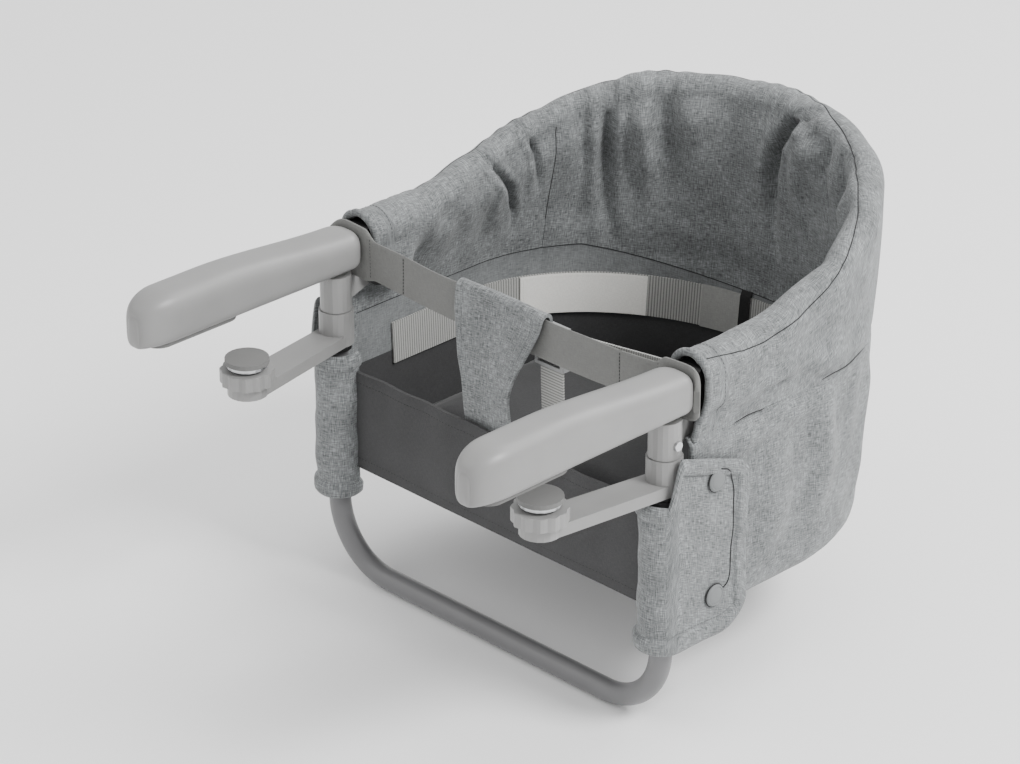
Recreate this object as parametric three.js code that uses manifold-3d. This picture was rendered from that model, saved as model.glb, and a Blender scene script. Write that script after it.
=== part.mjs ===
// Hook-on table chair: two arms grip a table top, a padded fabric seat hangs behind its edge.
// X runs to the seated child's left, Y away from the table and Z up, all in millimetres.
// The origin lies on the table top, at the table's edge, in the middle of the chair.
import * as THREE from 'three';
import { mergeVertices } from 'three/addons/utils/BufferGeometryUtils.js';
import Module from 'manifold-3d';

const wasm = await Module();
wasm.setup();

// Gaps and cuts
const fit = 0.3;
const runningGap = 0.6;
const overrun = 2;

// Steel tubes
const trackWidth = 378;
const tubeDiameter = 19;
const tubeWall = 1.5;

// Arms that lie on the table top
const armReach = 187;
const armTail = 48;
const armWidth = 42;
const armHeight = 47;
const armTailHeight = 36;
const armBase = 3;
const armTubeHeight = 21;
const armTipWall = 22;
const armTipRound = 34;
const armTipCrown = 30;
const armTailRound = 14;
const gripPadLength = 92;
const gripPadWidth = 27;
const gripPadThickness = 4.6;
const gripPadSetback = 12;
const armScrewDiameter = 7;
const armScrewHead = 2.4;
const armScrewShank = 4;
const armScrewPlace = 30;

// Hoop that carries the seat
const sideRun = 205;
const hoopDepth = 179;
const hoopSlopeRise = 40;
const hoopBackRise = 41;
const hoopBackRiseStart = 120;
const hoopLevelRun = 12;
const rimFrontDiameter = 40;
const rimDiameter = 28;
const rimTaperStart = 95;
const rimTaperEnd = 235;
const rimLoose = 1.4;
const hoodWall = 2.4;

// Black joint behind each arm
const housingGap = 10;
const housingLength = 34;
const housingWidth = 21;
const housingCrown = 12.5;
const housingRound = 6;
const pivotSetback = 76;
const pivotDrop = 6;
const lobeRadius = 18;
const pinDiameter = 8;
const hingePlate = 6;
const hingePlateRadius = 14;
const hingeNeckTop = 9;
const hingeNeckBottom = 30;
const buttonOrbit = 9;
const buttonStem = 4.5;
const buttonHead = 13;
const buttonHeadThickness = 3.5;
const buttonTravel = 4;
const springWire = 0.9;
const springTurns = 4;

// Lower frame
const legSetback = 32;
const legTop = 6;
const barDrop = 273;
const barBend = 60;
const socketDiameter = 27;
const socketLength = 32;
const socketCap = 3.5;
const rivetDiameter = 4;
const rivetHeadDiameter = 8;
const rivetHead = 1.6;
const rivetHeight = 12;

// Clamps under the table top
const tableThickness = 33.4;
const sleeveDiameter = 30;
const sleeveLength = 31;
const clampReach = 118;
const clampToe = 20;
const clampArmThickness = 10.5;
const clampBossDiameter = 34;
const collarLength = 5;
const collarDiameter = 26;
const knobDiameter = 46;
const knobHeight = 12;
const knobLobeDepth = 1.8;
const knobLobes = 12;
const stemDiameter = 12;
const stemFlat = 9.5;
const stemDiscDiameter = 34;
const stemDiscThickness = 3;
const stemDiscGap = 2;
const clampPadDiameter = 37;
const clampPadThickness = 4;

// Fabric seat
const clothWall = 5;
const seamGap = 0.8;
const bagOutset = 14;
const bagTaper = 6;
const bagTopDepth = 191;
const bagBottomDepth = 164;
const bagBottomDrop = 208;
const bagRound = 30;
const bagFrontTop = 63;
const bagFrontLow = 51;
const rimTuckIn = 2.2;
const foldDepth = 3;
const floorInset = 4.5;
const floorWall = 3;
const floorDrop = 181;
const boardThickness = 6;
const boardInset = 34;
const boardFront = 72;
const padThickness = 52;
const padCrown = 9;
const padRound = 10;
const padInset = 32;
const frontPanelHeight = 91;
const frontPanelWidth = 340;
const frontPanelSetback = 39;
const frontPanelBulge = 6;
const frontPanelWall = 4;

// Flaps that wrap the legs, with press studs
const flapWall = 3;
const flapTop = 46;
const flapFrontTop = 72;
const flapBottom = 206;
const flapRear = 94;
const flapRound = 12;
const flapLowRound = 34;
const flapTuck = 0.6;
const studDiameter = 19;
const studHeight = 3;
const studRearPlace = 72;
const studUpper = 65;
const studLower = 169;

// Band across the front and the crotch cover that hangs over it
const bandWidth = 36;
const bandThickness = 3;
const bandTop = 31;
const bandSag = 6;
const bandSetback = 50;
const bandHug = 1.2;
const bandEndTurn = 28;
const coverTopWidth = 98;
const coverLowWidth = 56;
const coverShift = 7;
const coverLowShift = 20;
const coverWall = 3;
const coverGap = 2.6;
const coverRearHang = 26;
const coverKnee = 62;
const coverFoot = 108;
const coverFootSetback = 46;

// Waist belt, its patch and keeper
const beltWidth = 38;
const beltThickness = 1.8;
const beltHeight = 94;
const beltDip = 9;
const beltGap = 1;
const patchThickness = 0.8;
const patchMargin = 0.5;
const patchGap = 0.8;
const keeperWidth = 9;
const keeperMargin = 5;
const frontBeltWidth = 25;
const frontBeltRise = 16;
const frontBeltDrop = 4;
const frontBeltSetback = 62;
const frontBeltOuter = 168;

// Side release buckle and crotch strap
const buckleSide = 34;
const buckleSetback = 65;
const buckleTop = 14;
const buckleWidth = 32;
const buckleThickness = 9;
const buckleWall = 1.8;
const tongueHeight = 13;
const socketHeight = 24;
const tonguePlay = 0.4;
const prongWidth = 4;
const prongThickness = 4.4;
const prongLength = 16;
const prongTravel = 2.5;
const barDiameter = 3;
const strapFoot = 160;

const trackHalf = trackWidth / 2;
const tubeRadius = tubeDiameter / 2;
const bagTopHalf = trackHalf + bagOutset;
const bagBottomHalf = bagTopHalf - bagTaper;
const flapSlack = bagOutset + (clothWall + flapWall) / 2 - tubeRadius - flapTuck;
const sides = { left: 1, right: -1 };

// Small helpers for numbers
const mix = (a, b, share) => a + (b - a) * share;
const ease = (share) => {
  const inside = Math.min(1, Math.max(0, share));
  return inside * inside * (3 - 2 * inside);
};
const range = (count) => Array.from({ length: count }, (unused, place) => place);
const degrees = (angle) => angle * Math.PI / 180;
const point = (x, y, z) => new THREE.Vector3(x, y, z);

// Solids and cuts
function toSolid(geometry) {
  const bare = geometry.clone();
  bare.deleteAttribute('normal');
  bare.deleteAttribute('uv');
  const merged = mergeVertices(bare);
  const vertProperties = new Float32Array(merged.attributes.position.array);
  const triVerts = new Uint32Array(merged.index.array);
  return new wasm.Manifold(new wasm.Mesh({ numProp: 3, vertProperties, triVerts }));
}

function fromSolid(solid) {
  const mesh = solid.getMesh();
  const geometry = new THREE.BufferGeometry();
  geometry.setAttribute('position', new THREE.BufferAttribute(new Float32Array(mesh.vertProperties), 3));
  geometry.setIndex(new THREE.BufferAttribute(new Uint32Array(mesh.triVerts), 1));
  geometry.computeVertexNormals();
  return geometry;
}

const cut = (geometry, ...tools) => fromSolid(tools.reduce(
  (solid, tool) => solid.subtract(toSolid(tool)), toSolid(geometry)));
const join = (geometry, ...others) => fromSolid(others.reduce(
  (solid, other) => solid.add(toSolid(other)), toSolid(geometry)));

// Closed geometry from points and triangles, turned so that its faces point out
function closedGeometry(points, triangles) {
  let volume = 0;
  for (const [a, b, c] of triangles) volume += points[a].dot(points[b].clone().cross(points[c]));
  const turned = volume < 0 ? triangles.map(([a, b, c]) => [a, c, b]) : triangles;
  const geometry = new THREE.BufferGeometry();
  geometry.setAttribute('position', new THREE.Float32BufferAttribute(points.flatMap((p) => p.toArray()), 3));
  geometry.setIndex(turned.flat());
  geometry.computeVertexNormals();
  return geometry;
}

// Sheet of even thickness about surface(u, v), with u and v from 0 to 1
function sheet(surface, acrossSteps, alongSteps, thickness) {
  const points = [];
  const place = (layer, i, j) => (layer * (acrossSteps + 1) + i) * (alongSteps + 1) + j;
  const small = 0.001;
  for (const layer of [1, -1]) {
    for (const i of range(acrossSteps + 1)) {
      for (const j of range(alongSteps + 1)) {
        const u = i / acrossSteps;
        const v = j / alongSteps;
        const du = surface(Math.min(1, u + small), v).sub(surface(Math.max(0, u - small), v));
        const dv = surface(u, Math.min(1, v + small)).sub(surface(u, Math.max(0, v - small)));
        const normal = du.cross(dv).normalize();
        points.push(surface(u, v).addScaledVector(normal, layer * thickness / 2));
      }
    }
  }
  const triangles = [];
  const last = alongSteps;
  const side = acrossSteps;
  const quad = (a, b, c, d) => triangles.push([a, b, c], [a, c, d]);
  for (const i of range(acrossSteps)) {
    for (const j of range(alongSteps)) {
      quad(place(0, i, j), place(0, i + 1, j), place(0, i + 1, j + 1), place(0, i, j + 1));
      quad(place(1, i, j + 1), place(1, i + 1, j + 1), place(1, i + 1, j), place(1, i, j));
    }
    quad(place(1, i, 0), place(1, i + 1, 0), place(0, i + 1, 0), place(0, i, 0));
    quad(place(0, i, last), place(0, i + 1, last), place(1, i + 1, last), place(1, i, last));
  }
  for (const j of range(alongSteps)) {
    quad(place(0, 0, j), place(0, 0, j + 1), place(1, 0, j + 1), place(1, 0, j));
    quad(place(1, side, j), place(1, side, j + 1), place(0, side, j + 1), place(0, side, j));
  }
  return closedGeometry(points, triangles);
}

// Solid through closed rings of equally many points, with a flat or domed end at each
function loft(rings) {
  const count = rings[0].length;
  const points = rings.flat();
  const triangles = [];
  for (const r of range(rings.length - 1)) {
    for (const i of range(count)) {
      const next = (i + 1) % count;
      const low = r * count;
      const high = low + count;
      triangles.push([low + i, low + next, high + next], [low + i, high + next, high + i]);
    }
  }
  const close = (ring, first, order) => {
    const middle = ring.reduce((sum, p) => sum.add(p), point(0, 0, 0)).divideScalar(count);
    points.push(middle);
    for (const i of range(count)) {
      const fan = [first + i, first + (i + 1) % count];
      triangles.push([points.length - 1, ...(order ? fan : fan.reverse())]);
    }
  };
  close(rings[0], 0, false);
  close(rings[rings.length - 1], (rings.length - 1) * count, true);
  return closedGeometry(points, triangles);
}

// Straight round bar or hole from one point to another
const barSides = 12;
function bar(from, to, radius, roundSides = barSides) {
  const length = from.distanceTo(to);
  const geometry = new THREE.CylinderGeometry(radius, radius, length, roundSides);
  const turn = new THREE.Quaternion().setFromUnitVectors(point(0, 1, 0), to.clone().sub(from).normalize());
  geometry.applyQuaternion(turn);
  const middle = from.clone().add(to).multiplyScalar(0.5);
  return geometry.translate(middle.x, middle.y, middle.z);
}

// A hole whose flats stay the named gap away from a round bar of the given radius
const holeRadius = (radius, gap = fit) => (radius + gap) / Math.cos(Math.PI / barSides);
const hole = (from, to, radius, gap = fit) => bar(from, to, holeRadius(radius, gap));

function block(low, high) {
  const size = high.clone().sub(low);
  const middle = low.clone().add(high).multiplyScalar(0.5);
  return new THREE.BoxGeometry(size.x, size.y, size.z).translate(middle.x, middle.y, middle.z);
}

// Outline drawn in Y and Z, thickened along X from one face to the other
function plateAlongX(shape, from, to, curveSegments = 12) {
  const plate = { depth: to - from, bevelEnabled: false, curveSegments };
  const geometry = new THREE.ExtrudeGeometry(shape, plate);
  return geometry.applyMatrix4(new THREE.Matrix4().set(
    0, 0, 1, from, 1, 0, 0, 0, 0, 1, 0, 0, 0, 0, 0, 1));
}

// Outline drawn in X and Y, thickened upwards from one height to another
function plateAlongZ(shape, from, to, curveSegments = 12) {
  const plate = { depth: to - from, bevelEnabled: false, curveSegments };
  const geometry = new THREE.ExtrudeGeometry(shape, plate);
  return geometry.translate(0, 0, from);
}

// Round tube along a curve, hollow where a bore is given
function tubeAlong(curve, steps, radius, bore = 0, roundSides = 12, boreSides = 8) {
  const section = new THREE.Shape(range(roundSides).map((i) => new THREE.Vector2(
    radius * Math.cos(2 * Math.PI * i / roundSides), radius * Math.sin(2 * Math.PI * i / roundSides))));
  if (bore > 0) {
    section.holes.push(new THREE.Path(range(boreSides).map((i) => new THREE.Vector2(
      bore * Math.cos(2 * Math.PI * i / boreSides), -bore * Math.sin(2 * Math.PI * i / boreSides)))));
  }
  return new THREE.ExtrudeGeometry(section, { steps, extrudePath: curve, bevelEnabled: false });
}

class RouteCurve extends THREE.Curve {
  constructor(route) {
    super();
    this.route = route;
  }

  getPoint(share) {
    return this.route(share);
  }
}

// Curve whose rings fall on chosen places, so that straight runs take few of them
class StationCurve extends RouteCurve {
  constructor(route, placeShares) {
    const last = placeShares.length - 1;
    super((share) => {
      const step = Math.min(last - 1, Math.floor(share * last));
      return route(mix(placeShares[step], placeShares[step + 1], share * last - step));
    });
    this.steps = last;
  }

  getUtoTmapping(share) {
    return share;
  }
}

// Colours and finishes
const finish = (color, roughness, metalness = 0) => new THREE.MeshStandardMaterial({
  color, roughness, metalness });
const finishes = {
  arm: finish(0xa9a9a8, 0.5),
  grip: finish(0x8e8e8d, 0.85),
  tube: finish(0x8d8f92, 0.42, 0.2),
  black: finish(0x1b1b1c, 0.5),
  steel: finish(0xb9bcc0, 0.3, 1),
  linen: finish(0x8f9496, 0.95),
  lining: finish(0x4b4d4f, 0.9),
  band: finish(0x7c7b77, 0.7),
  webbing: finish(0xa0a09d, 0.8),
  patch: finish(0xe9e7e2, 0.75),
  buckle: finish(0x9b9c9c, 0.45),
  foam: finish(0x55575a, 0.9),
  board: finish(0x2c2d2f, 0.7),
};

const chair = new THREE.Group();
function add(name, geometry, material) {
  const mesh = new THREE.Mesh(geometry, material);
  mesh.name = name;
  chair.add(mesh);
}

// Height of the hoop tube's centre line at a distance behind the table edge
const hoopStart = armTail + housingGap + housingLength + hoopLevelRun;
const hoopBack = sideRun + hoopDepth;
const hoopHeight = (y) => armTubeHeight
  + hoopSlopeRise * Math.max(0, (y - hoopStart) / (hoopBack - hoopStart))
  + hoopBackRise * ease((y - hoopBackRiseStart) / (hoopBack - hoopBackRiseStart));

// The padded rim tapers towards the back
const rimRadiusAt = (y) => mix(rimFrontDiameter, rimDiameter,
  ease((y - rimTaperStart) / (rimTaperEnd - rimTaperStart))) / 2;

// Plan of the hoop: straight sides, then half an ellipse, from one front end to the other
const hoopLength = (front) => Math.PI * (trackHalf + hoopDepth) / 2 + 2 * (sideRun - front);
function hoopRoute(front) {
  const straight = sideRun - front;
  const whole = hoopLength(front);
  const curved = whole - 2 * straight;
  return (share) => {
    const run = share * whole;
    let x = trackHalf;
    let y = front + run;
    if (run > straight + curved) {
      x = -trackHalf;
      y = front + whole - run;
    } else if (run > straight) {
      const angle = Math.PI * (run - straight) / curved;
      x = trackHalf * Math.cos(angle);
      y = sideRun + hoopDepth * Math.sin(angle);
    }
    return point(x, y, hoopHeight(y));
  };
}

// Upper frame: one tube runs through both arms and round the back
const hoopSteps = 30;
const tubeFront = armTipWall - armReach;
const levelShare = (hoopStart - tubeFront) / hoopLength(tubeFront);
const hoopPlaceShares = [0, ...range(hoopSteps + 1).map(
  (i) => mix(levelShare, 1 - levelShare, i / hoopSteps)), 1];
const hoopPath = new StationCurve(hoopRoute(tubeFront), hoopPlaceShares);
add('hoop_tube', tubeAlong(hoopPath, hoopPath.steps, tubeRadius, tubeRadius - tubeWall), finishes.tube);

// Fat copy of the tube's level run through an arm and its joint, for cuts
const tubeRun = (side, front, rear, gap) => hole(point(side * trackHalf, front, armTubeHeight),
  point(side * trackHalf, rear, armTubeHeight), tubeRadius, gap);

// Arm cover: a rounded box whose tip and tail are drawn in
const armRingPoints = 16;
const armSlopeShare = 0.6;
const tailWidthShare = 0.55;
const tailHeightShare = 0.7;
const tipWidthShare = 0.32;
const tipHeightShare = 0.62;
const crownPower = 2.7;
const footPower = 4.2;
const armTopLine = (y) => mix(armHeight, armTailHeight,
  ease((y + armReach * armSlopeShare) / (armTail + armReach * armSlopeShare)));
function armRing(side, y) {
  const tip = Math.min(1, Math.max(0, (y + armReach) / armTipRound));
  const crown = Math.min(1, Math.max(0, (y + armReach) / armTipCrown));
  const tail = Math.min(1, Math.max(0, (armTail - y) / armTailRound));
  const rounded = (share) => Math.sqrt(1 - (1 - share) ** 2);
  const tailShare = mix(tailWidthShare, 1, rounded(tail));
  const halfWidth = armWidth / 2 * mix(tipWidthShare, 1, rounded(tip)) * tailShare;
  const top = mix(armBase + (armTopLine(y) - armBase) * tipHeightShare, armTopLine(y), rounded(crown));
  const middle = (armBase + top) / 2;
  const halfHeight = (top - armBase) / 2 * mix(tailHeightShare, 1, rounded(tail));
  const bulge = (value, power) => Math.sign(value) * Math.abs(value) ** (2 / power);
  return range(armRingPoints).map((i) => {
    const angle = 2 * Math.PI * (i + 0.5) / armRingPoints;
    const power = Math.sin(angle) > 0 ? crownPower : footPower;
    return point(side * trackHalf + halfWidth * bulge(Math.cos(angle), power), y,
      middle + halfHeight * bulge(Math.sin(angle), power));
  });
}

const armRingShares = [0, 0.012, 0.035, 0.075, 0.13, 0.2, 0.34, 0.5, 0.66, 0.8, 0.9, 0.945, 0.975, 1];
function armPieces(name, side) {
  const rings = armRingShares.map((share) => armRing(side, mix(-armReach, armTail, share)));
  const x = side * trackHalf;
  const padFront = gripPadSetback - armReach;
  const padShape = (grow) => {
    const half = gripPadWidth / 2 + grow;
    const shape = new THREE.Shape();
    const front = padFront - grow + half;
    const rear = padFront + gripPadLength + grow - half;
    shape.absarc(x, front, half, Math.PI, 2 * Math.PI, false);
    shape.absarc(x, rear, half, 0, Math.PI, false);
    return shape;
  };
  const screwFoot = point(x, -armScrewPlace, armBase - overrun);
  const screwHeadTop = armBase + armScrewHead + runningGap;
  const screwTip = armTubeHeight - tubeRadius - fit;
  const cover = cut(loft(rings),
    tubeRun(side, tubeFront - runningGap, armTail + overrun, fit),
    plateAlongZ(padShape(fit), armBase - overrun, gripPadThickness + fit),
    hole(screwFoot, point(x, -armScrewPlace, screwHeadTop), armScrewDiameter / 2),
    hole(screwFoot, point(x, -armScrewPlace, armTubeHeight), armScrewShank / 2));
  add(`arm_cover_${name}`, cover, finishes.arm);
  add(`arm_grip_pad_${name}`, plateAlongZ(padShape(0), 0, gripPadThickness, 8), finishes.grip);
  const head = bar(point(x, -armScrewPlace, armBase + runningGap),
    point(x, -armScrewPlace, screwHeadTop - fit), armScrewDiameter / 2);
  const shank = bar(point(x, -armScrewPlace, armBase + armScrewHead / 2),
    point(x, -armScrewPlace, screwTip), armScrewShank / 2);
  add(`arm_screw_${name}`, join(head, shank), finishes.steel);
}

// Joint housing: a block round the tube with a round lobe below that holds the fold pin
const pivotHeight = -pivotDrop;
const housingFront = armTail + housingGap;
const slotHalf = hingePlate / 2 + runningGap / 2;
const slotTop = pivotHeight + hingePlateRadius + runningGap;
const buttonHeight = pivotHeight + buttonOrbit;
function housingShape() {
  const rear = housingFront + housingLength;
  const top = armTubeHeight + housingCrown;
  const shape = new THREE.Shape();
  shape.moveTo(housingFront, pivotHeight);
  shape.lineTo(housingFront, top - housingRound);
  shape.absarc(housingFront + housingRound, top - housingRound, housingRound, Math.PI, Math.PI / 2, true);
  shape.absarc(rear - housingRound, top - housingRound, housingRound, Math.PI / 2, 0, true);
  shape.lineTo(rear, pivotHeight);
  shape.absarc(pivotSetback, pivotHeight, lobeRadius, 0, Math.PI, true);
  return shape;
}

function jointPieces(name, side) {
  const x = side * trackHalf;
  const inner = x - side * housingWidth / 2;
  const pivot = (offset) => point(x + side * offset, pivotSetback, pivotHeight);
  const catchAt = (offset) => point(x + side * offset, pivotSetback, buttonHeight);
  const half = housingWidth / 2;
  const housing = cut(plateAlongX(housingShape(), x - half, x + half, 8),
    tubeRun(side, housingFront - overrun, housingFront + housingLength + overrun, fit),
    block(point(x - slotHalf, housingFront - lobeRadius, pivotHeight - lobeRadius - overrun),
      point(x + slotHalf, housingFront + housingLength + lobeRadius, slotTop)),
    hole(pivot(-half - overrun), pivot(half + overrun), pinDiameter / 2),
    hole(catchAt(-half - overrun), catchAt(half - overrun), buttonStem / 2));
  add(`joint_housing_${name}`, housing, finishes.black);

  add(`fold_pin_${name}`, bar(pivot(fit - half), pivot(half - fit), pinDiameter / 2), finishes.steel);

  const headFace = half + buttonTravel + springWire;
  const stemReach = half - overrun - buttonTravel - runningGap;
  const button = join(bar(catchAt(-headFace), catchAt(stemReach), buttonStem / 2),
    bar(catchAt(-headFace - buttonHeadThickness), catchAt(-headFace), buttonHead / 2));
  add(`fold_button_${name}`, button, finishes.black);
  add(`fold_button_spring_${name}`, buttonSpring(inner, side, headFace - half), finishes.steel);
}

// Open coil round the button's stem, between its head and the housing
const springStepsPerTurn = 6;
function buttonSpring(face, side, room) {
  const radius = buttonStem / 2 + fit + springWire;
  const travel = room - springWire - 2 * fit;
  const route = (share) => {
    const angle = 2 * Math.PI * springTurns * share;
    return point(face - side * (fit + springWire / 2 + travel * share),
      pivotSetback + radius * Math.cos(angle), buttonHeight + radius * Math.sin(angle));
  };
  return tubeAlong(new RouteCurve(route), springTurns * springStepsPerTurn, springWire / 2, 0, 5);
}

// Lower frame: a U of tube that hangs from the joints
function lowerRoute() {
  const path = new THREE.CurvePath();
  const corner = (side) => point(side * trackHalf, legSetback, -barDrop);
  const legFoot = (side) => point(side * trackHalf, legSetback, barBend - barDrop);
  const barEnd = (side) => point(side * (trackHalf - barBend), legSetback, -barDrop);
  const arc = (side) => new RouteCurve((share) => {
    const angle = side > 0 ? share * Math.PI / 2 : (1 - share) * Math.PI / 2;
    return point(side * (trackHalf - barBend + barBend * Math.cos(angle)), legSetback,
      corner(side).z + barBend * (1 - Math.sin(angle)));
  });
  path.add(new THREE.LineCurve3(point(trackHalf, legSetback, -legTop), legFoot(1)));
  path.add(arc(1));
  path.add(new THREE.LineCurve3(barEnd(1), barEnd(-1)));
  path.add(arc(-1));
  path.add(new THREE.LineCurve3(legFoot(-1), point(-trackHalf, legSetback, -legTop)));
  return path;
}
const bendSteps = 7;
function lowerCurve() {
  const route = lowerRoute();
  const lengths = route.getCurveLengths();
  const endShares = lengths.map((length) => length / lengths[lengths.length - 1]);
  const bendShares = (from, to) => range(bendSteps + 1).map((i) => mix(from, to, i / bendSteps));
  return new StationCurve((share) => route.getPoint(share), [0, ...bendShares(endShares[0], endShares[1]),
    ...bendShares(endShares[2], endShares[3]), 1]);
}
const lowerPath = lowerCurve();
add('lower_tube', tubeAlong(lowerPath, lowerPath.steps, tubeRadius, tubeRadius - tubeWall), finishes.tube);

// Socket on each leg's top, with the plate that turns on the fold pin
function hingeShape() {
  const shape = new THREE.Shape();
  const low = pivotHeight - hingePlateRadius;
  shape.moveTo(legSetback, -hingeNeckBottom);
  shape.lineTo(legSetback, -hingeNeckTop);
  shape.lineTo(pivotSetback - hingePlateRadius, -hingeNeckTop);
  shape.absarc(pivotSetback, pivotHeight, hingePlateRadius, Math.PI, -Math.PI / 2, true);
  shape.lineTo(legSetback + socketDiameter / 2, Math.min(low, -hingeNeckBottom));
  const slot = new THREE.Path();
  const half = buttonStem / 2 + runningGap;
  slot.absarc(pivotSetback, pivotHeight, buttonOrbit + half, 0, Math.PI / 2, false);
  slot.absarc(pivotSetback, pivotHeight + buttonOrbit, half, Math.PI / 2, 3 * Math.PI / 2, false);
  slot.absarc(pivotSetback, pivotHeight, buttonOrbit - half, Math.PI / 2, 0, true);
  slot.absarc(pivotSetback + buttonOrbit, pivotHeight, half, Math.PI, 2 * Math.PI, false);
  shape.holes.push(slot);
  return shape;
}

const socketSides = 20;
function legPieces(name, side) {
  const x = side * trackHalf;
  const at = (z) => point(x, legSetback, z);
  const socketTop = socketCap - legTop;
  const socketFoot = socketTop - socketLength;
  const body = bar(at(socketFoot), at(socketTop), socketDiameter / 2, socketSides);
  const plate = plateAlongX(hingeShape(), x - hingePlate / 2, x + hingePlate / 2, 6);
  const rivetEnd = tubeRadius + (socketDiameter / 2 - tubeRadius) + rivetHead;
  const rivetAt = (offset) => point(x + side * offset, legSetback, socketFoot + rivetHeight);
  const flat = socketDiameter / 2 * Math.cos(Math.PI / socketSides);
  const socket = cut(join(body, plate),
    hole(at(socketFoot - overrun), at(fit - legTop), tubeRadius),
    hole(point(x - housingWidth, pivotSetback, pivotHeight),
      point(x + housingWidth, pivotSetback, pivotHeight), pinDiameter / 2),
    hole(rivetAt(tubeRadius - overrun), rivetAt(rivetEnd + overrun), rivetDiameter / 2),
    block(point(Math.min(x + side * flat, x + side * housingWidth), legSetback - rivetHeadDiameter,
      socketFoot + rivetHeight - rivetHeadDiameter),
    point(Math.max(x + side * flat, x + side * housingWidth), legSetback + rivetHeadDiameter,
      socketFoot + rivetHeight + rivetHeadDiameter)));
  add(`leg_socket_${name}`, socket, finishes.arm);
  const rivet = join(bar(rivetAt(tubeRadius + fit), rivetAt(flat + fit + rivetHead / 2), rivetDiameter / 2),
    bar(rivetAt(flat + fit), rivetAt(flat + fit + rivetHead), rivetHeadDiameter / 2));
  add(`leg_rivet_${name}`, rivet, finishes.steel);
  return socketFoot;
}

// Clamp that turns on the leg: arm, knob, rising stem and rubber pad
const webShare = 0.92;
const lobeSteps = 4;
function clampPieces(name, side, sleeveTop) {
  const x = side * trackHalf;
  const sleeveFoot = sleeveTop - sleeveLength;
  const armTop = sleeveFoot + clampArmThickness;
  const tip = point(x - side * clampToe, legSetback - clampReach, 0);
  const at = (z) => point(x, legSetback, z);
  const tipAt = (z) => point(tip.x, tip.y, z);
  const sleeve = bar(at(sleeveFoot), at(sleeveTop), sleeveDiameter / 2, 20);
  const boss = bar(tipAt(sleeveFoot), tipAt(armTop), clampBossDiameter / 2, 20);
  const along = tip.clone().sub(at(0)).normalize();
  const across = point(-along.y, along.x, 0);
  const corner = (end, half) => end.clone().setZ(0).addScaledVector(across, half * webShare);
  const web = new THREE.Shape([
    corner(at(0), sleeveDiameter / 2), corner(tip, clampBossDiameter / 2),
    corner(tip, -clampBossDiameter / 2), corner(at(0), -sleeveDiameter / 2),
  ].map((p) => new THREE.Vector2(p.x, p.y)));
  const keyed = (grow, from, to) => {
    const round = stemDiameter / 2 + grow;
    const flat = stemFlat / 2 + grow;
    const angle = Math.acos(flat / round);
    const shape = new THREE.Shape();
    shape.absarc(tip.x, tip.y, round, angle, Math.PI - angle, false);
    shape.absarc(tip.x, tip.y, round, Math.PI + angle, 2 * Math.PI - angle, false);
    return plateAlongZ(shape, from, to, 6);
  };
  const arm = cut(join(sleeve, boss, plateAlongZ(web, sleeveFoot, armTop)),
    hole(at(sleeveFoot - overrun), at(sleeveTop + overrun), tubeRadius),
    keyed(fit, sleeveFoot - overrun, armTop + overrun));
  add(`clamp_arm_${name}`, arm, finishes.arm);

  const collarTop = sleeveFoot - fit;
  const collar = cut(bar(at(collarTop - collarLength), at(collarTop), collarDiameter / 2),
    hole(at(collarTop - collarLength - overrun), at(collarTop + overrun), tubeRadius));
  add(`clamp_collar_${name}`, collar, finishes.black);

  const knobFoot = armTop + fit;
  const lobed = new THREE.Shape(range(knobLobes * lobeSteps).map((i) => {
    const angle = 2 * Math.PI * i / (knobLobes * lobeSteps);
    const radius = knobDiameter / 2 - knobLobeDepth * (1 + Math.cos(knobLobes * angle)) / 2;
    return new THREE.Vector2(tip.x + radius * Math.cos(angle), tip.y + radius * Math.sin(angle));
  }));
  const knob = cut(plateAlongZ(lobed, knobFoot, knobFoot + knobHeight),
    hole(tipAt(knobFoot - overrun), tipAt(knobFoot + knobHeight + overrun), stemDiameter / 2));
  add(`clamp_knob_${name}`, knob, finishes.arm);

  const padTop = -tableThickness;
  const discTop = padTop - clampPadThickness - fit;
  const disc = bar(tipAt(discTop - stemDiscThickness), tipAt(discTop), stemDiscDiameter / 2, 20);
  add(`clamp_stem_${name}`, join(disc, keyed(0, sleeveFoot - stemDiscGap / 2, discTop)), finishes.steel);
  add(`clamp_pad_${name}`, bar(tipAt(padTop - clampPadThickness), tipAt(padTop), clampPadDiameter / 2, 24),
    finishes.grip);
}

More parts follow.
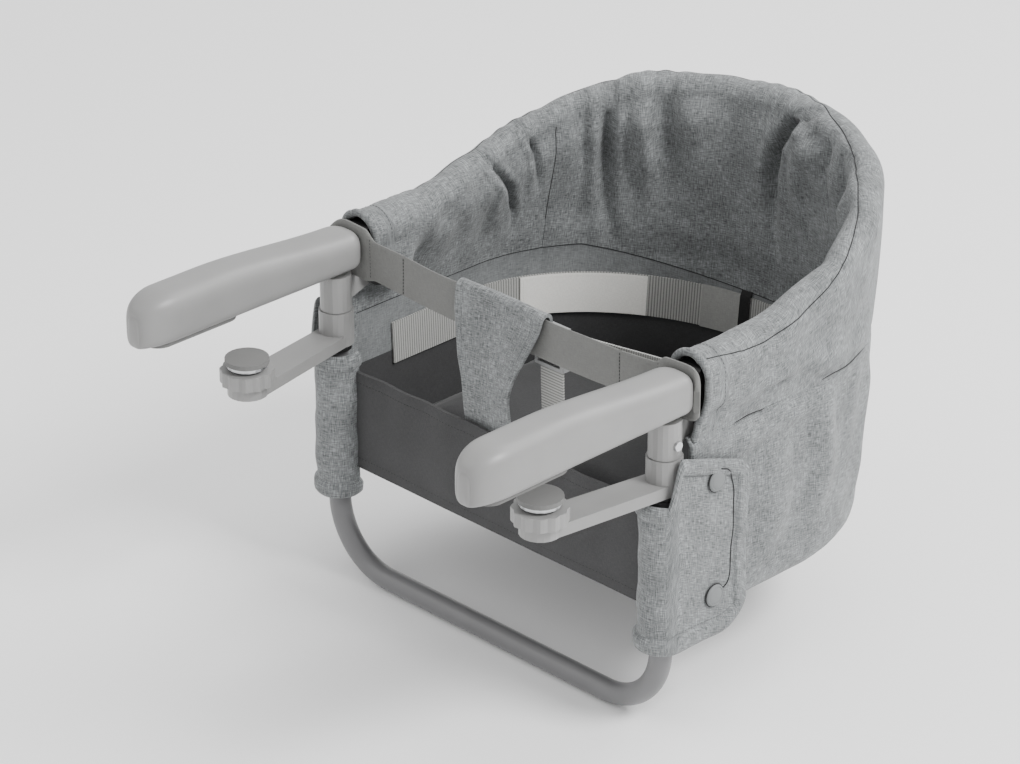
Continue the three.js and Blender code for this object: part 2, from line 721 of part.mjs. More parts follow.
// Fabric seat. Turn runs from -1 at the right front over 0 at the back to 1 at the left front,
// drop from 0 under the rim to 1 at the bottom.
const cornerShare = 0.58;
const dropStraightShare = 0.82;
const frontDropShare = 0.25;
const foldTurnShares = [-0.43, -0.2, 0.05, 0.27, 0.46, 0.72, -0.74];
const foldWidthShare = 0.035;
function bagPoint(turn, drop, inward = 0) {
  const side = Math.sign(turn) || 1;
  const share = Math.abs(turn);
  const down = Math.min(1, drop / dropStraightShare);
  const half = mix(bagTopHalf, bagBottomHalf, ease(down));
  const depth = mix(bagTopDepth, bagBottomDepth, down);
  const round = Math.max(0, (drop - dropStraightShare) / (1 - dropStraightShare)) * Math.PI / 2;
  const foldAt = (at) => Math.exp(-(((turn - at) / foldWidthShare) ** 2));
  const folds = foldTurnShares.reduce((sum, at) => sum + foldAt(at), 0);
  const pull = inward + bagRound * (1 - Math.cos(round)) + foldDepth * folds * Math.sin(Math.PI * down);
  const front = mix(bagFrontTop, bagFrontLow, ease(down / frontDropShare));
  let x = half - pull;
  let y = mix(sideRun, front, (share - cornerShare) / (1 - cornerShare));
  if (share < cornerShare) {
    const angle = Math.PI / 2 * share / cornerShare;
    x = (half - pull) * Math.sin(angle);
    y = sideRun + (depth - pull) * Math.cos(angle);
  }
  const top = hoopHeight(y) + rimTuckIn - rimRadiusAt(y);
  const bottom = clothWall / 2 - bagBottomDrop;
  const z = round > 0 ? bottom + bagRound * (1 - Math.sin(round)) : mix(top, bottom + bagRound, down);
  return point(side * x, y, z);
}

const seamTurnShare = 0.435;
const dropSteps = 7;
function bagPanel(fromShare, toShare, steps) {
  return sheet((u, v) => bagPoint(mix(fromShare, toShare, u), v), steps, dropSteps, clothWall);
}

const seamShare = seamGap / (4 * sideRun);
add('side_panel_left', bagPanel(seamTurnShare + seamShare, 1, 14), finishes.linen);
add('side_panel_right', bagPanel(-1, -seamTurnShare - seamShare, 14), finishes.linen);
add('back_panel', bagPanel(-seamTurnShare + seamShare, seamTurnShare - seamShare, 20), finishes.linen);

// Padded rim round the hoop, and the hoods of cloth over the joints
const rimFront = housingFront + housingLength + fit;
const rimSteps = 32;
const rimSides = 12;
const rimBoreSides = 8;
function rimRoll() {
  const route = hoopRoute(rimFront);
  const small = 0.001;
  const points = [];
  for (const step of range(rimSteps + 1)) {
    const share = step / rimSteps;
    const middle = route(share);
    const behind = route(Math.max(0, share - small));
    const ahead = route(Math.min(1, share + small)).sub(behind).setZ(0).normalize();
    const across = point(ahead.y, -ahead.x, 0);
    const ring = (radius, count) => range(count).forEach((i) => {
      const angle = 2 * Math.PI * i / count;
      points.push(middle.clone().addScaledVector(across, radius * Math.cos(angle)).setZ(
        middle.z + radius * Math.sin(angle)));
    });
    ring(rimRadiusAt(middle.y), rimSides);
    ring((tubeRadius + rimLoose) / Math.cos(Math.PI / rimBoreSides), rimBoreSides);
  }
  const stride = rimSides + rimBoreSides;
  const triangles = [];
  const wall = (low, high, count, order) => {
    for (const i of range(count)) {
      const next = (i + 1) % count;
      const corners = [low + i, low + next, high + next, high + i];
      const [a, b, c, d] = order ? corners : corners.reverse();
      triangles.push([a, b, c], [a, c, d]);
    }
  };
  for (const step of range(rimSteps)) {
    wall(step * stride, (step + 1) * stride, rimSides, true);
    wall(step * stride + rimSides, (step + 1) * stride + rimSides, rimBoreSides, false);
  }
  const flat = (radius, count) => range(count).map((i) => new THREE.Vector2(
    radius * Math.cos(2 * Math.PI * i / count), radius * Math.sin(2 * Math.PI * i / count)));
  const cap = THREE.ShapeUtils.triangulateShape(flat(rimFrontDiameter, rimSides),
    [flat(tubeRadius, rimBoreSides)]);
  const last = rimSteps * stride;
  for (const [a, b, c] of cap) triangles.push([a, c, b], [last + a, last + b, last + c]);
  return closedGeometry(points, triangles);
}
add('rim_roll', rimRoll(), finishes.linen);

const hoodSpan = 110;
function hood(side) {
  const surface = (u, v) => {
    const y = mix(housingFront + runningGap, rimFront - fit, u);
    const angle = degrees(90 + hoodSpan * (2 * v - 1));
    const radius = (rimFrontDiameter - hoodWall) / 2;
    return point(side * trackHalf + radius * Math.cos(angle), y, hoopHeight(y) + radius * Math.sin(angle));
  };
  return sheet(surface, 2, 14, hoodWall);
}

// Floor cloth, stiff board and seat pad, all inside the bag's plan
const planSteps = 20;
const cornerSteps = 3;
function seatPlan(inset, front, shrink = 0) {
  const points = [];
  const half = bagBottomHalf - inset - shrink;
  const depth = bagBottomDepth - inset - shrink;
  for (const i of range(planSteps + 1)) {
    const angle = Math.PI * i / planSteps;
    points.push(new THREE.Vector2(half * Math.cos(angle), sideRun + depth * Math.sin(angle)));
  }
  const corner = 2 * padRound;
  const across = half - corner;
  for (const [middle, start] of [[-across, Math.PI], [across, 1.5 * Math.PI]]) {
    for (const i of range(cornerSteps + 1)) {
      const angle = start + Math.PI / 2 * i / cornerSteps;
      points.push(new THREE.Vector2(middle + corner * Math.cos(angle),
        front + shrink + corner + corner * Math.sin(angle)));
    }
  }
  return points;
}

const floorTop = floorWall - floorDrop;
const boardTop = floorTop + fit + boardThickness;
const floorFront = frontPanelSetback + frontPanelWall / 2 + fit;
add('seat_floor', plateAlongZ(new THREE.Shape(seatPlan(floorInset, floorFront)), -floorDrop, floorTop),
  finishes.lining);
add('seat_board', plateAlongZ(new THREE.Shape(seatPlan(boardInset, boardFront)), floorTop + fit, boardTop),
  finishes.board);

// Crowned pad with drawn-in sides
const padRowShares = [
  [1, 0, 0], [0.35, 0.16, 0], [0, 0.5, 0], [0.3, 0.84, 0], [1, 1, 0.12],
  [2.6, 1, 0.5], [5.5, 1, 0.82], [9, 1, 1],
];
function seatPad() {
  const foot = boardTop + fit;
  const rings = padRowShares.map(([insetShare, heightShare, crownShare]) => seatPlan(padInset, boardFront,
    padRound * insetShare).map((p) => point(p.x, p.y, foot + (padThickness - padCrown) * heightShare
      + padCrown * crownShare)));
  return loft(rings);
}
add('seat_pad', seatPad(), finishes.foam);

// Dark panel below the leg openings
function frontPanel() {
  const surface = (u, v) => {
    const x = mix(-frontPanelWidth / 2, frontPanelWidth / 2, u);
    const z = mix(frontPanelHeight, 0, v) - floorDrop;
    return point(x, frontPanelSetback - frontPanelBulge * Math.sin(Math.PI * u) * Math.sin(Math.PI * v), z);
  };
  return sheet(surface, 12, 5, frontPanelWall);
}
add('front_panel', frontPanel(), finishes.lining);

// Flap round each leg: from inside its front, round it and back along the side
const wrapStart = degrees(-200);
const wrapShare = 0.48;
const flapRiseShare = 0.39;
const flapRiseRunShare = 0.08;
function flapRoute(side) {
  const radius = tubeRadius + flapSlack;
  return (share) => {
    if (share < wrapShare) {
      const angle = mix(wrapStart, 0, share / wrapShare);
      return [side * (trackHalf + radius * Math.cos(angle)), legSetback + radius * Math.sin(angle)];
    }
    const run = (share - wrapShare) / (1 - wrapShare);
    return [side * (trackHalf + radius), mix(legSetback, flapRear, run)];
  };
}

function flap(side) {
  const route = flapRoute(side);
  const surface = (u, v) => {
    const [x, y] = route(u);
    const top = -mix(flapFrontTop, flapTop, ease((u - flapRiseShare) / flapRiseRunShare));
    const corner = (round) => {
      const near = Math.min(1, Math.max(0, round - (flapRear - y)) / round);
      return u > wrapShare ? round * (1 - Math.sqrt(1 - near ** 2)) : 0;
    };
    return point(x, y, mix(top - corner(flapRound), corner(flapLowRound) - flapBottom, v));
  };
  return sheet(surface, 22, 4, flapWall);
}

const studProfileShares = [[0, 0], [1, 0], [1, 0.35], [0.82, 0.8], [0.4, 1], [0, 0.9]];
function flapPieces(name, side) {
  add(`side_flap_${name}`, flap(side), finishes.linen);
  const face = trackHalf + tubeRadius + flapSlack + flapWall / 2 + fit;
  const profile = studProfileShares.map(([radiusShare, heightShare]) => new THREE.Vector2(
    studDiameter / 2 * radiusShare, studHeight * heightShare));
  for (const [level, drop] of [['upper', studUpper], ['lower', studLower]]) {
    const cap = new THREE.LatheGeometry(profile, 16);
    cap.rotateZ(-side * Math.PI / 2);
    cap.translate(side * face, studRearPlace, -drop);
    add(`press_stud_${level}_${name}`, cap, finishes.band);
  }
}

// Front band with an end that hugs each arm's tail
const bandSteps = 40;
const bandBendShare = 0.6;
function bandPlan() {
  const half = armWidth / 2 + bandHug + bandThickness / 2;
  const rear = armTail + bandHug + bandThickness / 2;
  const corner = armTailRound;
  const path = new THREE.CurvePath();
  const cornerAt = (side, sign) => [side * trackHalf + sign * (half - corner), rear - corner];
  const bend = (cx, cy, from, to) => new RouteCurve((share) => {
    const angle = mix(from, to, share);
    return point(cx + corner * Math.cos(angle), cy + corner * Math.sin(angle), 0);
  });
  const right = cornerAt(-1, -1);
  const rightIn = cornerAt(-1, 1);
  const leftIn = cornerAt(1, -1);
  const left = cornerAt(1, 1);
  path.add(bend(...right, Math.PI - degrees(bandEndTurn), Math.PI / 2));
  path.add(new THREE.LineCurve3(point(right[0], rear, 0), point(rightIn[0], rear, 0)));
  path.add(new THREE.CatmullRomCurve3([point(rightIn[0], rear, 0),
    point(rightIn[0] + corner, mix(rear, bandSetback, bandBendShare), 0),
    point(rightIn[0] + 2 * corner, bandSetback, 0), point(leftIn[0] - 2 * corner, bandSetback, 0),
    point(leftIn[0] - corner, mix(rear, bandSetback, bandBendShare), 0), point(leftIn[0], rear, 0)]));
  path.add(new THREE.LineCurve3(point(leftIn[0], rear, 0), point(left[0], rear, 0)));
  path.add(bend(...left, Math.PI / 2, degrees(bandEndTurn)));
  return path;
}
const bandPath = bandPlan();
const bandDrop = (x) => bandSag * Math.max(0, 1 - (x / trackHalf) ** 2);
function frontBand() {
  const surface = (u, v) => {
    const at = bandPath.getPointAt(u);
    return point(at.x, at.y, bandTop - bandDrop(at.x) - bandWidth * v);
  };
  const strip = sheet(surface, bandSteps, 1, bandThickness);
  const tools = Object.values(sides).map(
    (side) => tubeRun(side, armTail - overrun, housingFront, runningGap));
  return cut(strip, ...tools);
}
add('front_band', frontBand(), finishes.band);

// Crotch cover: hangs over the band, then runs down to the seat's front edge
function coverRoute() {
  const top = bandTop - bandSag + coverGap + coverWall / 2;
  const front = bandSetback - bandThickness / 2 - coverGap - coverWall / 2;
  const rear = bandSetback + bandThickness / 2 + coverGap + coverWall / 2;
  return new THREE.CatmullRomCurve3([
    point(0, rear + coverGap, top - coverRearHang), point(0, rear + coverGap / 2, top - coverRearHang / 2),
    point(0, rear - coverWall / 4, top - coverWall), point(0, bandSetback, top),
    point(0, front + coverWall / 4, top - coverWall), point(0, front, top - coverRearHang / 2),
    point(0, front - coverGap, top - bandWidth), point(0, front - coverGap, -coverKnee),
    point(0, coverFootSetback, -coverFoot)]);
}
function crotchCover() {
  const route = coverRoute();
  const surface = (u, v) => {
    const at = route.getPointAt(v);
    const low = ease((bandTop - at.z) / (bandTop + coverKnee));
    const width = mix(coverTopWidth, coverLowWidth, low);
    const middle = -mix(coverShift, coverLowShift, low);
    return point(middle + width * (u - 0.5), at.y, at.z);
  };
  return sheet(surface, 4, 20, coverWall);
}
add('crotch_cover', crotchCover(), finishes.linen);

// Waist belt along the inside of the seat
const beltTurnShare = 0.86;
const beltDropOf = (turn, height) => {
  const top = bagPoint(turn, 0).z;
  const bottom = clothWall / 2 - bagBottomDrop + bagRound;
  return dropStraightShare * (top + height) / (top - bottom);
};
function beltSurface(fromShare, toShare, low, high, standoff) {
  return (u, v) => {
    const turn = mix(fromShare, toShare, u);
    const sag = beltDip * Math.cos(Math.PI / 2 * Math.min(1, Math.abs(turn) / cornerShare));
    const height = mix(high, low, v) + sag;
    return bagPoint(turn, beltDropOf(turn, height), clothWall / 2 + standoff);
  };
}
const beltStandoff = beltGap + beltThickness / 2;
const beltHigh = beltHeight - beltWidth / 2;
const beltLow = beltHeight + beltWidth / 2;
add('waist_belt', sheet(beltSurface(-beltTurnShare, beltTurnShare, beltLow, beltHigh, beltStandoff), 48, 1,
  beltThickness), finishes.webbing);

// Blank patch sewn on the belt, and the keeper loop at the back
const patchStartShare = -0.486;
const patchEndShare = -0.256;
const keeperTurnShare = -0.053;
const patchStandoff = beltStandoff + beltThickness / 2 + patchGap + patchThickness / 2;
add('belt_patch', sheet(beltSurface(patchStartShare, patchEndShare, beltLow - patchMargin,
  beltHigh + patchMargin, patchStandoff), 14, 1, patchThickness), finishes.patch);
const keeperHalfShare = keeperWidth * cornerShare / (Math.PI * bagBottomDepth);
add('belt_keeper', sheet(beltSurface(keeperTurnShare - keeperHalfShare, keeperTurnShare + keeperHalfShare,
  beltLow + keeperMargin, beltHigh - keeperMargin, patchStandoff), 2, 4, patchThickness), finishes.black);

// Short belt behind the band, from the left joint to the buckle
function frontBelt() {
  const surface = (u, v) => {
    const x = mix(frontBeltOuter, buckleSide + buckleWidth / 2 + fit, u);
    const middle = mix(frontBeltRise, frontBeltDrop, u);
    return point(x, frontBeltSetback, middle + frontBeltWidth * (0.5 - v));
  };
  return sheet(surface, 8, 1, beltThickness);
}
add('front_belt', frontBelt(), finishes.webbing);

// Side release buckle: tongue with two springy prongs in a socket
const windowShare = 0.35;
function bucklePieces() {
  const near = buckleSetback - buckleThickness / 2;
  const far = buckleSetback + buckleThickness / 2;
  const half = buckleWidth / 2;
  const corner = (x, y, z) => point(buckleSide + x, y, z);
  const tongueFoot = buckleTop - tongueHeight;
  const socketTop = tongueFoot - runningGap;
  const socketFoot = socketTop - socketHeight;
  const slotHalfWidth = frontBeltWidth / 2;
  const frame = cut(block(corner(-half, near, tongueFoot), corner(half, far, buckleTop)),
    block(corner(-slotHalfWidth, near - overrun, tongueFoot + barDiameter),
      corner(slotHalfWidth, far + overrun, buckleTop - barDiameter)));
  const stemHalf = half - buckleWall - prongWidth - prongTravel - tonguePlay * 2;
  const stem = block(corner(-stemHalf, buckleSetback - prongThickness / 2, socketTop - prongLength),
    corner(stemHalf, buckleSetback + prongThickness / 2, tongueFoot + barDiameter / 2));
  add('buckle_tongue', join(frame, stem), finishes.buckle);

  const cavityNear = near + buckleWall;
  const cavityFar = far - buckleWall;
  const cavityHalf = half - buckleWall;
  const windowTop = socketTop - prongLength * windowShare;
  const windowFoot = socketTop - prongLength - tonguePlay;
  const socket = cut(block(corner(-half, near, socketFoot), corner(half, far, socketTop)),
    block(corner(-cavityHalf, cavityNear, windowFoot), corner(cavityHalf, cavityFar, socketTop + overrun)),
    block(corner(-half - overrun, cavityNear, windowFoot), corner(half + overrun, cavityFar, windowTop)),
    block(corner(-slotHalfWidth, near - overrun, socketFoot + barDiameter),
      corner(slotHalfWidth, far + overrun, windowFoot - buckleWall)));
  add('buckle_socket', socket, finishes.buckle);

  for (const [name, side] of Object.entries(sides)) {
    const outer = side * (cavityHalf - tonguePlay);
    const inner = side * (cavityHalf - tonguePlay - prongWidth);
    const shoulder = side * (half - fit);
    const front = buckleSetback - prongThickness / 2;
    const rear = buckleSetback + prongThickness / 2;
    const foot = windowFoot + tonguePlay;
    const spine = block(corner(Math.min(outer, inner), front, foot),
      corner(Math.max(outer, inner), rear, tongueFoot - tonguePlay));
    const press = block(corner(Math.min(shoulder, inner), front, foot),
      corner(Math.max(shoulder, inner), rear, windowTop - tonguePlay));
    add(`buckle_prong_${name}`, join(spine, press), finishes.buckle);
  }
  return socketFoot;
}

// Crotch strap from the buckle down to the board's front edge
function crotchStrap(top) {
  const surface = (u, v) => {
    const z = mix(top - fit, -strapFoot, v);
    return point(buckleSide + frontBeltWidth * (u - 0.5), buckleSetback, z);
  };
  return sheet(surface, 1, 6, beltThickness);
}
add('crotch_strap', crotchStrap(bucklePieces()), finishes.webbing);

for (const [name, side] of Object.entries(sides)) {
  armPieces(name, side);
  jointPieces(name, side);
  const socketFoot = legPieces(name, side);
  clampPieces(name, side, socketFoot - runningGap);
  add(`rim_hood_${name}`, hood(side), finishes.linen);
  flapPieces(name, side);
}

export default chair;
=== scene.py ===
"""Looks of a hook-on table chair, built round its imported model.

Every length is in metres. +X runs to the sitter's left, +Y to the back of the seat and +Z up.
"""

import math
import bpy
import numpy as np
from bpy.props import FloatProperty, FloatVectorProperty, PointerProperty
from mathutils import Matrix, Vector


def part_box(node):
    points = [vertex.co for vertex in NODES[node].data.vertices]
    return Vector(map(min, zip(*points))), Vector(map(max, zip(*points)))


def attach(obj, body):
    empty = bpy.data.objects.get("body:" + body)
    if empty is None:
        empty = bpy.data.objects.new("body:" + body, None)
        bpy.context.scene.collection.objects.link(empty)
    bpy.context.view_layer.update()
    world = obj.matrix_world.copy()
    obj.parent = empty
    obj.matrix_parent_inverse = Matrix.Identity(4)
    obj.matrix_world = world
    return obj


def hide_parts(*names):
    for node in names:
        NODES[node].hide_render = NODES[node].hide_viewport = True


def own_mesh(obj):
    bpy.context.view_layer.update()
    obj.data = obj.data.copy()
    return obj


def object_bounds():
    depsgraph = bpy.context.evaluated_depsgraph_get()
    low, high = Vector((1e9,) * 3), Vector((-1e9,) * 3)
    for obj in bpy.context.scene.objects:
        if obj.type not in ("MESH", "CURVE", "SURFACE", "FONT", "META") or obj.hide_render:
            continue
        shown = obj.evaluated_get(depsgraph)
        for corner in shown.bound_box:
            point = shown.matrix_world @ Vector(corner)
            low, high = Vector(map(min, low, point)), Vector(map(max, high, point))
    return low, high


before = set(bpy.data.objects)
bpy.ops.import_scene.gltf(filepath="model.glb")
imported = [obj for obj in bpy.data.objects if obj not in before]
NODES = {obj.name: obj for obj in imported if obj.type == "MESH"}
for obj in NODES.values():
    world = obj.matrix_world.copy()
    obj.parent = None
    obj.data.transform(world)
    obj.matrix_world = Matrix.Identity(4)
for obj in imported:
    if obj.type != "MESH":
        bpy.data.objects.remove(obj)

bl_info = {
    "name": "Table chair looks",
    "version": (1, 0, 0),
    "blender": (4, 5, 0),
    "location": "3D View > Sidebar > Chair",
    "description": "Builds the cloth, tubes, arms and finishes of a hook-on table chair",
    "category": "Object",
}

CAD_BOX = [list(corner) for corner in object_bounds()]
SIDES = {"left": 1, "right": -1}
ROOT = "upper_frame_and_seat"
LOWER = "lower_frame"

# Places read from the frame
LOWER_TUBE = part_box("lower_tube")
HOOP_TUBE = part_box("hoop_tube")
TUBE_RADIUS = (LOWER_TUBE[1].y - LOWER_TUBE[0].y) / 2
TRACK_HALF = LOWER_TUBE[1].x - TUBE_RADIUS
LEG_SETBACK = LOWER_TUBE[1].y - TUBE_RADIUS
BAR_HEIGHT = LOWER_TUBE[0].z + TUBE_RADIUS
HOOP_LEVEL = HOOP_TUBE[0].z + TUBE_RADIUS
HOOP_FRONT = HOOP_TUBE[0].y
HOUSING_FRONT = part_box("joint_housing_left")[0].y
FLOOR_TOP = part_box("seat_floor")[1].z
FLOOR_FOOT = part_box("seat_floor")[0].z
ARM_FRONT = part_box("arm_cover_left")[0].y
ARM_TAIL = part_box("arm_cover_left")[1].y
ARM_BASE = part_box("arm_cover_left")[0].z

# Hoop that carries the seat
SIDE_RUN = 0.205
HOOP_DEPTH = 0.179
HOOP_BACK = SIDE_RUN + HOOP_DEPTH
HOOP_START = 0.104
SLOPE_RISE = 0.040
BACK_RISE = 0.041
BACK_RISE_START = 0.120
TUBE_WALL = 0.0015
CORNER_SHARE = 0.58
RIM_RADIUS_FRONT = 0.0200
RIM_RADIUS_BACK = 0.0145
RIM_LEAST_RADIUS = 0.0114
BEND_RUN = 0.306
STRAIGHT_RUN = 0.146

# Bag of cloth
BAG_HALF = TRACK_HALF + 0.014
BAG_TAPER = 0.006
BAG_DEPTH = 0.191
BAG_LOW_DEPTH = 0.164
BAG_FRONT = 0.063
BAG_LOW_FRONT = 0.051
BAG_FOOT = -0.2055
BAG_ROUND = 0.030
FOLD_PLANE = -0.024
SEAM_TURN = 0.435


def mix(low, high, share):
    return low + (high - low) * share


def ease(share):
    share = np.clip(share, 0.0, 1.0)
    return share * share * (3.0 - 2.0 * share)


def hump(distance, width):
    return np.exp(-((distance / width) ** 2))


def hoop_height(y):
    slope = SLOPE_RISE * np.maximum(0.0, (y - HOOP_START) / (HOOP_BACK - HOOP_START))
    return HOOP_LEVEL + slope + BACK_RISE * ease((y - BACK_RISE_START) / (HOOP_BACK - BACK_RISE_START))


def rim_radius(y):
    return mix(RIM_RADIUS_FRONT, RIM_RADIUS_BACK, ease((y - 0.095) / 0.140))


# A turn is a place round the seat: 0 in the middle of the back, 1 and -1 at the front of its two sides
def bend_angle(turn):
    """Angle round the bend at the back. It stays a right angle along the straight sides."""
    return np.pi / 2 * np.minimum(np.abs(turn) / CORNER_SHARE, 1.0)


def straight_share(turn):
    return np.clip((np.abs(turn) - CORNER_SHARE) / (1.0 - CORNER_SHARE), 0.0, 1.0)


def plan(turn, half, depth, front):
    """Plan of the seat: straight sides, then half an ellipse round the back."""
    angle = bend_angle(turn)
    x = np.where(turn < 0, -1.0, 1.0) * half * np.sin(angle)
    y = SIDE_RUN + depth * np.cos(angle)
    return x, np.where(np.abs(turn) > CORNER_SHARE, mix(SIDE_RUN, front, straight_share(turn)), y)


def outward(turn):
    """Level direction that points out of the seat, at each turn."""
    angle = bend_angle(turn)
    x, y = np.where(turn < 0, -1.0, 1.0) * HOOP_DEPTH * np.sin(angle), TRACK_HALF * np.cos(angle)
    length = np.hypot(x, y)
    return np.stack([x / length, y / length, np.zeros_like(x)], axis=-1)


def run_along(turn):
    """Distance round the seat from the middle of the back, with its sign."""
    curved = BEND_RUN * np.minimum(np.abs(turn) / CORNER_SHARE, 1.0)
    return np.sign(turn) * (curved + STRAIGHT_RUN * straight_share(turn))


# Creases of the cloth: turn and height along each, then its width and its height off the cloth
INNER_CREASES = [
    ([(0.125, 0.150), (0.100, 0.112), (0.045, 0.096), (0.012, 0.074), (-0.010, 0.040), (-0.008, 0.000),
      (0.010, -0.080)], 0.0060, -0.0110),
    ([(0.150, 0.140), (0.100, 0.092), (0.066, 0.064), (0.052, 0.030), (0.050, -0.020)], 0.015, 0.0095),
    ([(-0.322, 0.140), (-0.332, 0.100), (-0.335, 0.060), (-0.328, 0.010), (-0.300, -0.085)], 0.0070, -0.0115),
    ([(-0.285, 0.145), (-0.275, 0.104), (-0.262, 0.066), (-0.250, 0.020), (-0.240, -0.045)], 0.012, 0.0085),
    ([(-0.250, 0.140), (-0.232, 0.095), (-0.215, 0.050), (-0.180, -0.030)], 0.014, -0.0040),
    ([(-0.390, 0.120), (-0.382, 0.084), (-0.365, 0.030), (-0.360, -0.020)], 0.009, -0.0042),
    ([(-0.550, 0.120), (-0.508, 0.078), (-0.480, 0.048), (-0.452, -0.010)], 0.0036, -0.0056),
    ([(-0.610, 0.060), (-0.570, 0.038), (-0.532, 0.018), (-0.508, -0.010), (-0.500, -0.055)], 0.0040, -0.0060),
    ([(-0.600, 0.040), (-0.560, 0.008), (-0.540, -0.020), (-0.530, -0.050)], 0.012, 0.0040),
    ([(-0.780, 0.030), (-0.700, 0.006), (-0.650, -0.035)], 0.011, -0.0030),
    ([(-0.180, 0.140), (-0.150, 0.080), (-0.140, 0.020), (-0.120, -0.040)], 0.018, 0.0026),
    ([(0.170, 0.110), (0.140, 0.070), (0.150, 0.025)], 0.007, -0.0035),
    ([(0.260, 0.130), (0.215, 0.040), (0.220, -0.040)], 0.012, -0.0048),
    ([(0.340, 0.130), (0.300, 0.040), (0.290, -0.040)], 0.014, 0.0060),
    ([(0.540, 0.070), (0.490, 0.010), (0.470, -0.040)], 0.010, -0.0038),
    ([(0.740, 0.030), (0.660, -0.020)], 0.011, -0.0028),
]
OUTER_CREASES = [
    ([(1.040, -0.020), (0.960, -0.010), (0.880, 0.004)], 0.0075, -0.0040),
    ([(1.030, -0.034), (0.975, -0.030), (0.930, -0.030)], 0.0040, 0.0022),
    ([(0.990, 0.000), (0.900, 0.000), (0.820, 0.003), (0.740, 0.000), (0.640, 0.004), (0.540, 0.006)], 0.012,
     0.0048),
    ([(0.880, -0.044), (0.800, -0.044), (0.720, -0.040), (0.620, -0.042), (0.520, -0.046)], 0.010, 0.0036),
    ([(0.790, -0.016), (0.735, -0.012), (0.680, -0.014)], 0.007, -0.0060),
    ([(0.660, -0.006), (0.560, -0.010), (0.480, -0.008), (0.380, -0.002)], 0.011, 0.0040),
    ([(0.860, -0.060), (0.800, -0.120), (0.830, -0.170)], 0.012, -0.0022),
    ([(0.660, -0.040), (0.630, -0.110), (0.660, -0.180)], 0.011, -0.0024),
    ([(0.580, -0.040), (0.560, -0.110), (0.590, -0.170)], 0.012, 0.0034),
    ([(0.740, -0.050), (0.720, -0.120), (0.750, -0.180)], 0.013, 0.0028),
    ([(0.500, 0.020), (0.520, -0.060), (0.490, -0.160)], 0.013, -0.0024),
    ([(0.400, -0.040), (0.420, -0.120), (0.400, -0.180)], 0.013, 0.0030),
    ([(0.270, 0.060), (0.250, -0.030), (0.280, -0.140)], 0.012, 0.0032),
    ([(0.050, 0.080), (0.060, -0.010), (0.030, -0.130)], 0.012, -0.0024),
    ([(0.120, 0.060), (0.130, -0.040), (0.110, -0.150)], 0.013, 0.0030),
    ([(-0.080, 0.070), (-0.100, -0.040), (-0.070, -0.140)], 0.012, 0.0028),
    ([(-0.240, 0.060), (-0.260, -0.050), (-0.230, -0.150)], 0.013, -0.0022),
    ([(-0.380, 0.050), (-0.400, -0.060), (-0.370, -0.160)], 0.013, 0.0030),
    ([(-0.520, 0.020), (-0.500, -0.080), (-0.530, -0.160)], 0.012, 0.0026),
    ([(-0.700, -0.030), (-0.680, -0.120)], 0.011, -0.0024),
    ([(-0.860, -0.050), (-0.820, -0.150)], 0.012, -0.0022),
    ([(-0.900, -0.012), (-0.760, -0.010), (-0.640, -0.006)], 0.011, 0.0032),
]
# Turns between which dark cords paint the shade of the outer seam's pinched fold, on the real seam
SEAM_SHADE_SEGMENTS = [(0.780, 0.876), (0.445, 0.588), (-0.060, 0.210), (-0.520, -0.290), (-0.880, -0.700)]


def creases(turn, z, lines):
    """How far the creases push the cloth out, at each turn and height. Each fades at its ends."""
    run = run_along(turn)
    push = np.zeros_like(run + z)
    for places, width, lift in lines:
        nearest, along = np.full_like(push, 9.0), np.zeros_like(push)
        count = len(places) - 1
        for k, ((turn_a, z_a), (turn_b, z_b)) in enumerate(zip(places, places[1:])):
            ax, bx = run_along(np.array(turn_a)), run_along(np.array(turn_b))
            dx, dz = bx - ax, z_b - z_a
            share = np.clip(((run - ax) * dx + (z - z_a) * dz) / (dx * dx + dz * dz), 0, 1)
            distance = np.hypot(run - ax - share * dx, z - z_a - share * dz)
            along = np.where(distance < nearest, (k + share) / count, along)
            nearest = np.minimum(nearest, distance)
        fade = ease(along / 0.15) * ease((1.0 - along) / 0.4)
        push += lift * fade * (hump(nearest, width) - 0.35 * hump(nearest - 1.9 * width, width))
    return push


def slack(turn, z):
    """Small uneven waves that any sewn cloth has."""
    run = run_along(turn)
    waves = np.sin(run * 71.0 + 2.1 * np.sin(z * 37.0)) * 0.5
    waves = waves + np.sin(z * 83.0 + 1.7 * np.sin(run * 29.0)) * 0.35
    waves = waves + np.sin(run * 167.0 + z * 61.0) * 0.22
    return 0.0007 * waves


# Meshes. Each takes the name of its finish as its look.
def piece(name, vertices, faces, look, smooth_degrees=42):
    mesh = bpy.data.meshes.new(name)
    mesh.from_pydata([tuple(v) for v in vertices], [], [tuple(f) for f in faces])
    mesh.update()
    obj = bpy.data.objects.new(name, mesh)
    bpy.context.scene.collection.objects.link(obj)
    mesh.materials.append(finish(look))
    soften(obj, smooth_degrees)
    return obj


def soften(obj, smooth_degrees=42):
    obj.data.shade_smooth()
    obj.data.set_sharp_from_angle(angle=math.radians(smooth_degrees))


def settle(obj):
    """Applies the modifiers of a piece to its mesh."""
    bpy.context.view_layer.update()
    evaluated = obj.evaluated_get(bpy.context.evaluated_depsgraph_get())
    mesh = bpy.data.meshes.new_from_object(evaluated)
    obj.modifiers.clear()
    obj.data = mesh


def round_edges(obj, width):
    bevel = obj.modifiers.new("soft edges", "BEVEL")
    bevel.width, bevel.segments = width, 2
    bevel.limit_method, bevel.angle_limit = "ANGLE", math.radians(38)
    bevel.use_clamp_overlap, bevel.harden_normals = True, False


def points_of(obj):
    places = np.empty(len(obj.data.vertices) * 3)
    obj.data.vertices.foreach_get("co", places)
    return places.reshape(-1, 3)


def move_points(obj, places):
    obj.data.vertices.foreach_set("co", places.ravel())


